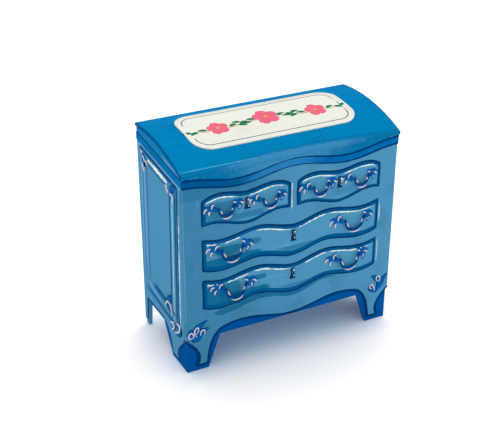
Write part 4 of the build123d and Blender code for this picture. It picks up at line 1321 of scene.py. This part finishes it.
class DRESSER_OT_front_lines(bpy.types.Operator):
    """Dark lines along the wavy strips, the legs and the apron, and pale ones beside them"""

    bl_idname = "dresser.front_lines"
    bl_label = "Front Lines"

    # The shade on the apron, in X, with its distance below the drawer and its width at shares of its length
    SHADE_START, SHADE_END = -40.0, 24.0
    SHADE_GAPS = ((0, 0.9), (0.25, 0.4), (1, 0.4))
    SHADE_WIDTHS = ((0, 3.2), (0.22, 3.2), (0.36, 2.8), (0.5, 1.7), (0.7, 1.9), (1, 1.2))
    SHADE_POINTS, SHADE_RISE = 120, 0.03
    # Pale strokes under the band, beside the small drawers and beside the wide ones: X and Z, and widths
    HIGHLIGHTS = (
        (((38.5, 92.7), (46.0, 93.6), (53.6, 94.6)), 0.5),
        (((-0.9, 86.0), (-1.0, 80.0), (-0.8, 73.0)), 0.6),
        (((46.6, 65.0), (46.8, 60.5), (46.6, 56.0)), 0.6),
        (((46.6, 46.0), (46.9, 40.0), (46.7, 34.0)), 0.45),
    )
    HIGHLIGHT_POINTS, HIGHLIGHT_RISE = 40, 0.09
    CORNICE_POINTS, ACROSS_POINTS, EDGE_POINTS, TOE_POINTS = 150, 260, 60, 16
    CORNICE_RISE, LEG_RISE, TOE_RISE = 0.18, 0.12, 0.1
    SHORT = 0.3  # how far short of its end a line stops

    def execute(self, context):
        paints, sizes = context.scene.dresser_colours, strokes_in_mm(context.scene)
        line = stroke_material("Line Paint", paints.line)
        pale = stroke_material("Pale Paint", paints.pale)
        make_piece("cornice_dark_lines", self.cornice(sizes), line, "carcass")
        make_piece("leg_dark_lines", self.legs(sizes), line, "carcass")
        make_piece("front_pale_lines", self.highlights(), pale, "carcass")
        teal = stroke_material("Apron Shade Paint", paints.apron_shade, ALONG_X, variety=0.3)
        make_piece("apron_shade", [self.shade()], teal, "carcass")
        return {"FINISHED"}

    def cornice(self, sizes):
        """Lines on both edges of the band: two waves across the front, with crests at middle and ends."""
        (_, y_band, low), (reach, _, high) = node_box("front_band")
        crown_low = node_box("front_crown")[0][2]
        swing = (high - crown_low) / 2
        drop = crown_low - low
        x = np.linspace(-reach + self.SHORT, reach - self.SHORT, self.CORNICE_POINTS)
        shells = []
        for seed, (fall, lift) in enumerate(((0.0, 0.05), (drop, -0.12))):
            z = crown_low + swing + swing * np.cos(2 * pi * x / reach) - fall
            uneven = 0.2 * wobble(len(x), seed + 70, 20)
            width = sizes["line_width"] * (0.6 + 0.45 * np.abs(x) / reach + uneven)
            shells.append(on_front(brush(pairs(x, z), width, self.CORNICE_RISE, lift, 0.3), y_band))
        return shells

    def legs(self, sizes):
        """A line from toe to toe along both legs' inner edges and the apron's wave, one along each outer
        edge, and one under each toe."""
        outer, inner = leg_edges(on_level(node_points("left_stile"), 1, Y_FRONT), 0)
        apron = on_level(node_points("apron"), 1, Y_FRONT)
        middle = (apron[:, 2].min() + apron[:, 2].max()) / 2
        wave = run(apron[apron[:, 2] < middle], 0, 2)
        wave = wave[np.abs(wave[:, 0]) < -inner[-1, 0] - self.SHORT]
        across = even(np.concatenate([inner, wave, (inner * (-1, 1))[::-1]]), self.ACROSS_POINTS)
        width = sizes["line_width"]
        uneven = 0.25 * wobble(self.ACROSS_POINTS, 80, 30)
        shells = [brush(across, width * (1.05 + uneven), self.LEG_RISE)]
        for side in SIDES:
            edge = even(outer * (-side, 1), self.EDGE_POINTS)
            uneven = 0.25 * wobble(self.EDGE_POINTS, 82, 8)
            shells.append(brush(edge, width * (1.1 + uneven), self.LEG_RISE))
            toe = np.linspace(outer[0], inner[0], self.TOE_POINTS) * (-side, 1)
            shells.append(brush(toe, width, self.TOE_RISE))
        return [on_front(shell, Y_FRONT) for shell in shells]

    def shade(self):
        """A thin, broad stroke on the apron along the lower drawer's edge, further below it at the left."""
        count = self.SHADE_POINTS
        share = np.linspace(0, 1, count)
        x = self.SHADE_START + (self.SHADE_END - self.SHADE_START) * share
        width = np.interp(share, *np.transpose(self.SHADE_WIDTHS)) * (1 + 0.12 * wobble(count, 95, 16))
        gap = np.interp(share, *np.transpose(self.SHADE_GAPS))
        z = DrawerFace("lower").bottom(x) - gap - width / 2
        full = taper(count, 0.06, 0.2, 0.2)
        return on_front(brush(pairs(x, z), width * full, self.SHADE_RISE), Y_FRONT)

    def highlights(self):
        """Short, ragged strokes of pale paint."""
        count = self.HIGHLIGHT_POINTS
        full = taper(count, 0.15, 0.2, 0.15)
        shells = []
        for seed, (points, width) in enumerate(self.HIGHLIGHTS):
            ragged = 0.65 + 0.35 * wobble(count, seed + 90, 16)
            stroke = brush(smooth_path(points, count), width * ragged * full, self.HIGHLIGHT_RISE)
            shells.append(on_front(stroke, Y_FRONT))
        return shells


class DRESSER_OT_side_lines(bpy.types.Operator):
    """Dark, light and pale lines on both sides"""

    bl_idname = "dresser.side_lines"
    bl_label = "Side Lines"

    RISE, SUNK = 0.1, 0.3
    BAND_INSET = 0.2  # of the dark lines, from the ends of the band
    BAND_WIDTH, BAND_LIFT = 0.6, 0.15
    LINE_POINTS, RING_POINTS, ARCH_POINTS, LEG_POINTS, SHADE_POINTS = 60, 50, 140, 50, 80
    # Widths of the lines on the ring's bottom, rear, top and front edge, and the line below its top arm
    RING_WIDTHS = (0.5, 0.4, 0.6, 0.9)
    INNER_WIDTH, INNER_DROP, INNER_NEAR, INNER_FAR = 0.8, 4.8, 8.4, 4.6
    ARCH_WIDTH, LEG_WIDTH = 0.7, 0.6
    SHADE_WIDTH, SHADE_DROP, SHADE_NEAR, SHADE_FAR = 1.5, 1.9, 2.5, 0.3  # below the top, and in from its ends
    LIGHT_DROP, LIGHT_NEAR, LIGHT_FAR = 1.0, 0.8, 1.2  # below the band, and in from its ends
    LIGHT_ARM = ((4.0, 24.9), (12.0, 26.6), (18.6, 28.6))
    # Pale strokes down the stile, along the ring's top arm and at the top's front corner
    STILE_GAP, STILE_TOP, STILE_BOTTOM = 1.1, 80.0, 24.0
    ARM_NEAR, ARM_FAR, ARM_DROP = -8.5, 13.0, 2.6
    CORNER = ((0.4, 99.4), (1.5, 99.8), (3.5, 100.2))  # from the front

    def execute(self, context):
        paints = context.scene.dresser_colours
        for name, shells, paint in (
            ("side_dark_lines", self.dark(), paints.line),
            ("side_shades", self.shades(), paints.shade),
            ("side_light_lines", self.lights(), paints.light),
            ("side_pale_lines", self.pales(), paints.pale),
        ):
            material = stroke_material(f"{name.replace('_', ' ').title()} Paint", paint)
            both = [on_side(shell, X_OUT, side) for side in SIDES for shell in shells]
            make_piece(name, both, material, "carcass")
        return {"FINISHED"}

    def line(self, path, width, seed, lift=0.0, dry=0.25, tips=0.02):
        """A line along a path on a side, uneven by its dryness, that thins out over its tips."""
        count = len(path)
        uneven = 1 - dry + dry * wobble(count, seed, 24)
        return brush(path, width * uneven * taper(count, tips, tips, 0.3), self.RISE, lift, self.SUNK)

    @staticmethod
    def ring_line(start, end, count=60):
        """A straight path between two places on the ring, given as if it were upright and level."""
        y, z = np.linspace(start, end, count).T
        return pairs(y + RING_LEAN * (RING_HIGH - z), z + RING_SLOPE * (y - RING_NEAR))

    def dark(self):
        """Lines along both edges of the band, round the ring, below its top arm, and along leg and arch."""
        (_, front, low), (_, back, high) = node_box("side_bands")
        start, end = front + self.BAND_INSET, back - self.BAND_INSET
        shells = []
        for seed, z in enumerate((low, high - SIDE_BAND_CLIMB)):
            path = np.linspace((start, z), (end, z + SIDE_BAND_CLIMB), self.LINE_POINTS)
            shells.append(self.line(path, self.BAND_WIDTH, seed + 100, self.BAND_LIFT))
        corners = NEAR_LOW, FAR_LOW, FAR_HIGH, NEAR_HIGH, NEAR_LOW
        for count, width in enumerate(self.RING_WIDTHS):
            path = np.linspace(corners[count], corners[count + 1], self.RING_POINTS)
            shells.append(self.line(path, width, count + 110, RING_RISE / 2))
        under = RING_HIGH - self.INNER_DROP
        inner = self.ring_line((RING_NEAR + self.INNER_NEAR, under), (RING_FAR - self.INNER_FAR, under))
        shells.append(self.line(inner, self.INNER_WIDTH, 116, RING_RISE))
        near = side_points[side_points[:, 1] < Y_REAR - 1]
        outer, inner = leg_edges(near, 1, Z_SKIRT + SAME)
        toe = on_level(side_points, 2, side_points[:, 2].min())
        rear = [(Y_REAR, Z_SKIRT), (toe[toe[:, 1] > Y_REAR][:, 1].min(), toe[0, 2])]
        arch = even(np.concatenate([inner, rear]), self.ARCH_POINTS)
        shells.append(self.line(arch, self.ARCH_WIDTH, 117))
        shells.append(self.line(even(outer, self.LEG_POINTS), self.LEG_WIDTH, 118))
        return shells

    def shades(self):
        """A dark stroke under the edge of the bowed top."""
        y_middle, z_middle, radius = BOW
        y = np.linspace(Y_FRONT + self.SHADE_NEAR, Y_BACK - self.SHADE_FAR, self.SHADE_POINTS)
        z = z_middle + np.sqrt((radius - self.SHADE_DROP) ** 2 - (y - y_middle) ** 2)
        return [self.line(pairs(y, z), self.SHADE_WIDTH, 119, tips=0.2)]

    def lights(self):
        """A light blue line under the band, and one along the ring's bottom arm."""
        (_, front, low), (_, back, _) = node_box("side_bands")
        z = low - self.LIGHT_DROP
        start, end = (front + self.LIGHT_NEAR, z), (back - self.LIGHT_FAR, z + SIDE_BAND_CLIMB)
        band = np.linspace(start, end, self.LINE_POINTS)
        arm = smooth_path(self.LIGHT_ARM, 70)
        return [self.line(band, 1.4, 120), self.line(arm, 1.0, 123, RING_RISE, 0.4, 0.12)]

    def pales(self):
        """Dry pale strokes: down the stile, along the ring's top arm, and at the top's front corner."""
        y, z = RING_NEAR - self.STILE_GAP, RING_HIGH - self.ARM_DROP
        strokes = [
            (self.ring_line((y, self.STILE_TOP), (y, self.STILE_BOTTOM), 110), 1.15, 0.0, 0.5),
            (self.ring_line((self.ARM_NEAR, z), (self.ARM_FAR, z)), 2.5, RING_RISE, 0.35),
            (smooth_path(moved(self.CORNER, (Y_FRONT, 0)), 20), 1.0, 0.0, 0.2),
        ]
        return [
            self.line(path, width, seed + 121, lift, dry, 0.12)
            for seed, (path, width, lift, dry) in enumerate(strokes)
        ]


class DRESSER_OT_leaf_sprays(bpy.types.Operator):
    """Leaf sprays above the feet and on the corners of the side rings"""

    bl_idname = "dresser.leaf_sprays"
    bl_label = "Leaf Sprays"

    # Leaves above the front feet, as X and Z with a width, and the pale strokes on them, which have one width
    FRONT_LEAVES = (
        (((-51.6, 19.2), (-49.8, 22.2), (-47.0, 24.4), (-43.6, 26.4)), 2.8),
        (((-51.4, 18.8), (-48.8, 19.8), (-46.0, 21.2), (-42.8, 21.9)), 3.2),
        (((-52.2, 19.2), (-50.4, 17.7), (-48.2, 17.7), (-46.2, 19.2)), 2.4),
        (((-51.4, 18.9), (-52.6, 20.2), (-52.5, 21.8), (-51.6, 23.6)), 2.0),
        (((48.0, 16.4), (50.0, 19.6), (51.4, 22.8), (54.2, 25.2)), 2.6),
        (((49.6, 20.6), (48.4, 22.8), (46.8, 24.6), (44.6, 25.6)), 2.4),
        (((51.0, 23.6), (49.8, 21.0), (48.9, 18.4), (47.6, 15.6)), 2.6),
        (((44.2, 21.0), (44.4, 19.0), (46.0, 17.4), (47.8, 15.8)), 2.0),
    )
    FRONT_STROKES = (
        ((-50.7, 18.7), (-50.8, 20.4), (-52.0, 21.6), (-53.2, 20.6), (-52.9, 19.0), (-51.6, 18.6),
         (-50.8, 19.8)),
        ((-49.0, 18.8), (-50.1, 20.3), (-50.2, 22.2), (-49.4, 23.6), (-48.3, 23.4), (-48.4, 21.6),
         (-49.6, 20.4)),
        ((-47.2, 18.9), (-47.2, 20.6), (-46.4, 21.7), (-45.4, 21.5), (-45.1, 20.5), (-45.6, 19.4)),
        ((49.2, 21.2), (49.7, 23.2), (48.9, 25.0), (47.6, 24.2), (47.8, 22.6), (49.2, 22.2)),
        ((46.9, 16.8), (46.6, 18.6), (45.4, 20.8), (44.1, 20.4), (44.2, 19.0), (45.6, 18.8)),
    )
    FRONT_STROKE = 0.7
    # On a side, as Y and Z: at two corners of the ring's front end, one of its rear end, and above the foot
    SIDE_LEAVES = (
        (((-16.2, 91.2), (-13.8, 90.6), (-10.6, 88.0)), 3.2),
        (((-13.0, 89.4), (-12.6, 87.4), (-11.0, 84.6)), 2.0),
        (((19.8, 94.8), (17.2, 93.8), (14.2, 92.4)), 1.3),
        (((19.6, 94.2), (18.8, 91.4), (17.4, 88.4)), 1.3),
        (((-8.8, 33.0), (-5.4, 30.4), (-1.6, 26.2)), 3.2),
        (((-2.0, 26.6), (-5.6, 25.8), (-9.4, 23.6)), 2.2),
        (((-18.2, 22.0), (-17.2, 18.8), (-13.4, 15.6)), 2.6),
        (((-11.6, 21.4), (-10.6, 18.4), (-8.4, 16.0)), 2.0),
    )
    SIDE_STROKES = (
        (((-6.4, 89.4), (-8.0, 89.2), (-8.8, 86.6)), 1.1),
        (((-11.4, 87.6), (-13.8, 87.0), (-14.4, 84.0)), 1.1),
        (((20.6, 95.2), (19.6, 95.4), (18.6, 94.6)), 0.8),
        (((18.8, 94.0), (17.4, 92.8), (16.4, 91.2)), 1.0),
        (((15.4, 92.4), (14.4, 91.6), (13.6, 90.4)), 0.9),
        (((19.4, 90.0), (18.6, 87.6), (17.4, 86.0)), 0.9),
        (((-1.8, 25.4), (-3.6, 28.6), (-6.4, 29.2), (-8.4, 26.8), (-9.2, 24.0)), 1.0),
        (((-7.3, 19.8), (-10.6, 20.6), (-11.2, 18.6), (-8.4, 15.8)), 1.1),
        (((-14.4, 22.8), (-17.4, 22.4), (-16.9, 19.6), (-12.2, 16.2)), 1.1),
    )
    OUTLINE = 0.8  # how much wider the dark paint under a leaf is
    # How far the dark paint, the leaves and the pale strokes stand proud, and where the pale strokes start
    FRONT_EDGE, FRONT_LEAF, FRONT_LIFT = 0.2, 0.34, 0.28
    SIDE_EDGE, SIDE_LEAF, SIDE_LIFT = 0.16, 0.3, 0.26
    STROKE_RISE = 0.14
    SIDE_SUNK = 1.1  # as deep as the ring stands proud, and more

    def execute(self, context):
        paints = context.scene.dresser_colours
        enamel = stroke_material("Pull Paint", paints.pull, variety=0.3, roughness=0.35)
        navy = stroke_material("Line Paint", paints.line)
        pink = stroke_material("Spray Stroke Paint", paints.spray, variety=0.12)
        edges, leaves = [], []
        for points, width in self.FRONT_LEAVES:
            edges.append(on_front(lobe(points, width + self.OUTLINE, self.FRONT_EDGE), Y_FRONT))
            leaves.append(on_front(lobe(points, width, self.FRONT_LEAF), Y_FRONT))
        strokes = [
            on_front(comma(points, self.FRONT_STROKE, self.STROKE_RISE, self.FRONT_LIFT), Y_FRONT)
            for points in self.FRONT_STROKES
        ]
        for side in SIDES:
            for points, width in self.SIDE_LEAVES:
                edge = lobe(points, width + self.OUTLINE, self.SIDE_EDGE, RING_RISE, self.SIDE_SUNK)
                leaf = lobe(points, width, self.SIDE_LEAF, RING_RISE, self.SIDE_SUNK)
                edges.append(on_side(edge, X_OUT, side))
                leaves.append(on_side(leaf, X_OUT, side))
            for points, width in self.SIDE_STROKES:
                stroke = comma(points, width, self.STROKE_RISE, RING_RISE + self.SIDE_LIFT, self.SIDE_SUNK)
                strokes.append(on_side(stroke, X_OUT, side))
        make_piece("leaf_sprays", leaves, enamel, "carcass", ["leaf_ornaments"])
        make_piece("leaf_spray_edges", edges, navy, "carcass")
        make_piece("leaf_spray_strokes", strokes, pink, "carcass")
        return {"FINISHED"}


class DRESSER_OT_cloth_panel(bpy.types.Operator):
    """Cream panel on the top with a drawn border, and three flowers on leafy stems"""

    bl_idname = "dresser.cloth_panel"
    bl_label = "Cloth Panel"

    LIFT = 0.2  # of the panel over the bowed top
    CORNER = 9.0  # radius of its corners
    # The two lines of the border: distance from the edge, width, rise, lift and seed
    BORDERS = ((0.5, 0.7, 0.03, 0.42, 130), (3.0, 0.45, 0.07, LIFT, 133))
    BORDER_POINTS = 240
    # Each flower's place from the panel's middle, and its size
    FLOWERS = (((0, 0.5), 6.4), ((-25, -1.5), 5.2), ((25, -1.5), 5.2))
    # A petal from the flower's middle outwards, and its width, as shares of the flower's size
    PETAL, PETAL_WIDTH, PETAL_POINTS = ((0.12, 0), (0.5, 0.06), (0.98, 0)), 0.92, 18
    PETALS, FIRST_PETAL = 5, 0.3  # how many, and the first one's angle
    # A leaf and its size, and how many steps from the flower's middle each leaf starts, with its angle
    LEAF, LEAF_LENGTH, LEAF_WIDTH = ((0, 0), (0.45, 0.1), (0.95, 0)), 4.6, 2.0
    LEAF_STEP, LEAVES = 5.6, ((1.0, 0.25), (1.75, -0.35), (2.3, 0.2))
    PETAL_RISE, STEM_RISE, HEART_RISE = 0.09, 0.06, 0.14
    STEM, STEM_WIDTH, STEM_POINTS = ((0, -0.6), (6, -1.4), (12, -0.6)), 0.6, 28
    HEART_RADIUS, HEART_WIDTH, HEART_POINTS = 0.55, 1.1, 20

    def execute(self, context):
        paints = context.scene.dresser_colours
        low, high = node_box("top_inlay")
        middle, half = (low + high)[:2] / 2, (high - low)[:2] / 2
        flowers = [(middle + place, size) for place, size in self.FLOWERS]
        cloth = paint_material("Cloth Paint", paints.cloth, stretch=ANY_WAY, variety=0.1, roughness=0.6)
        dress(["top_inlay"], cloth)
        for name, shells, paint in (
            ("cloth_border_lines", self.borders(middle, half), paints.line),
            ("cloth_petals", self.petals(flowers), paints.flower),
            ("cloth_leaves", self.leaves(flowers), paints.leaf),
            ("cloth_stems", self.stems(flowers), paints.stem),
        ):
            material = stroke_material(f"{name.replace('_', ' ').title()} Paint", paint, variety=0.25)
            make_piece(name, [on_top(shell) for shell in shells], material, "carcass")
        return {"FINISHED"}

    @staticmethod
    def circle(count):
        """Even points round a circle of radius 1."""
        turn = np.linspace(0, 2 * pi, count, endpoint=False)
        return pairs(np.cos(turn), np.sin(turn))

    def borders(self, middle, half):
        """Two lines inside the panel's edge, on rounded rectangles: a circle's quarters, moved apart."""
        circle = self.circle(self.BORDER_POINTS)
        shells = []
        for inset, width, rise, lift, seed in self.BORDERS:
            corner = self.CORNER - inset
            loop = middle + np.sign(circle) * (half - inset - corner) + corner * circle
            uneven = width * (1 + 0.2 * wobble(self.BORDER_POINTS, seed, 30))
            shells.append(brush(loop, uneven, rise, lift, closed=True))
        return shells

    def petals(self, flowers):
        """Petals round each flower's middle, as strokes that are widest half way."""
        full = np.sin(np.linspace(0.25, pi - 0.35, self.PETAL_POINTS)) ** 0.7
        shells = []
        for place, size in flowers:
            for petal in range(self.PETALS):
                spot = moved(self.PETAL, place, size, 2 * pi * petal / self.PETALS + self.FIRST_PETAL)
                path = smooth_path(spot, self.PETAL_POINTS)
                shells.append(brush(path, self.PETAL_WIDTH * size * full, self.PETAL_RISE, self.LIFT))
        return shells

    def leaves(self, flowers):
        """Leaves along both stems of each flower."""
        shells = []
        for (x, y), _ in flowers:
            for side in SIDES:
                for reach, turn in self.LEAVES:
                    start = (x + side * reach * self.LEAF_STEP, y + self.STEM[0][1])
                    spot = moved(self.LEAF, start, self.LEAF_LENGTH, turn, side)
                    shells.append(lobe(spot, self.LEAF_WIDTH, self.PETAL_RISE, self.LIFT))
        return shells

    def stems(self, flowers):
        """A stem to each side of a flower, and its heart."""
        full = taper(self.STEM_POINTS, 0.1, 0.5, 0.3)
        circle = self.circle(self.HEART_POINTS)
        shells = []
        for place, _ in flowers:
            for side in SIDES:
                path = smooth_path(moved(self.STEM, place, side=side), self.STEM_POINTS)
                shells.append(brush(path, self.STEM_WIDTH * full, self.STEM_RISE, self.LIFT))
            heart = place + self.HEART_RADIUS * circle
            shells.append(brush(heart, self.HEART_WIDTH, self.HEART_RISE, self.LIFT, closed=True))
        return shells


OPERATORS = (
    DRESSER_OT_stage,
    DRESSER_OT_paint_front,
    DRESSER_OT_paint_sides,
    DRESSER_OT_paint_drawers,
    DRESSER_OT_drawer_lines,
    DRESSER_OT_pulls,
    DRESSER_OT_keyholes,
    DRESSER_OT_front_lines,
    DRESSER_OT_side_lines,
    DRESSER_OT_leaf_sprays,
    DRESSER_OT_cloth_panel,
)


class DRESSER_PT_panel(bpy.types.Panel):
    """Settings and steps of the painted dresser"""

    bl_label = "Dresser"
    bl_idname = "DRESSER_PT_panel"
    bl_space_type = "VIEW_3D"
    bl_region_type = "UI"
    bl_category = "Dresser"

    def draw(self, context):
        """Lists each group of settings, and then the operators."""
        for group_name, cls in SETTINGS.items():
            column = self.layout.column(align=True)
            for name in cls.__annotations__:
                column.prop(getattr(context.scene, group_name), name)
        for operator in OPERATORS:
            self.layout.operator(operator.bl_idname)


SETTINGS = {
    "dresser_colours": DresserColours,
    "dresser_strokes": DresserStrokes,
    "dresser_stage": DresserStage,
}
CLASSES = (*SETTINGS.values(), *OPERATORS, DRESSER_PT_panel)


def register():
    """Registers the classes, and puts the settings on the scene."""
    for cls in CLASSES:
        bpy.utils.register_class(cls)
    for name, cls in SETTINGS.items():
        setattr(bpy.types.Scene, name, bpy.props.PointerProperty(type=cls))


def unregister():
    """Takes the settings off the scene, and unregisters the classes."""
    for name in SETTINGS:
        delattr(bpy.types.Scene, name)
    for cls in reversed(CLASSES):
        bpy.utils.unregister_class(cls)


def main():
    """Runs each operator in turn."""
    register()
    for operator in OPERATORS:
        space, name = operator.bl_idname.split(".")
        getattr(getattr(bpy.ops, space), name)()


if __name__ == "__main__":
    main()
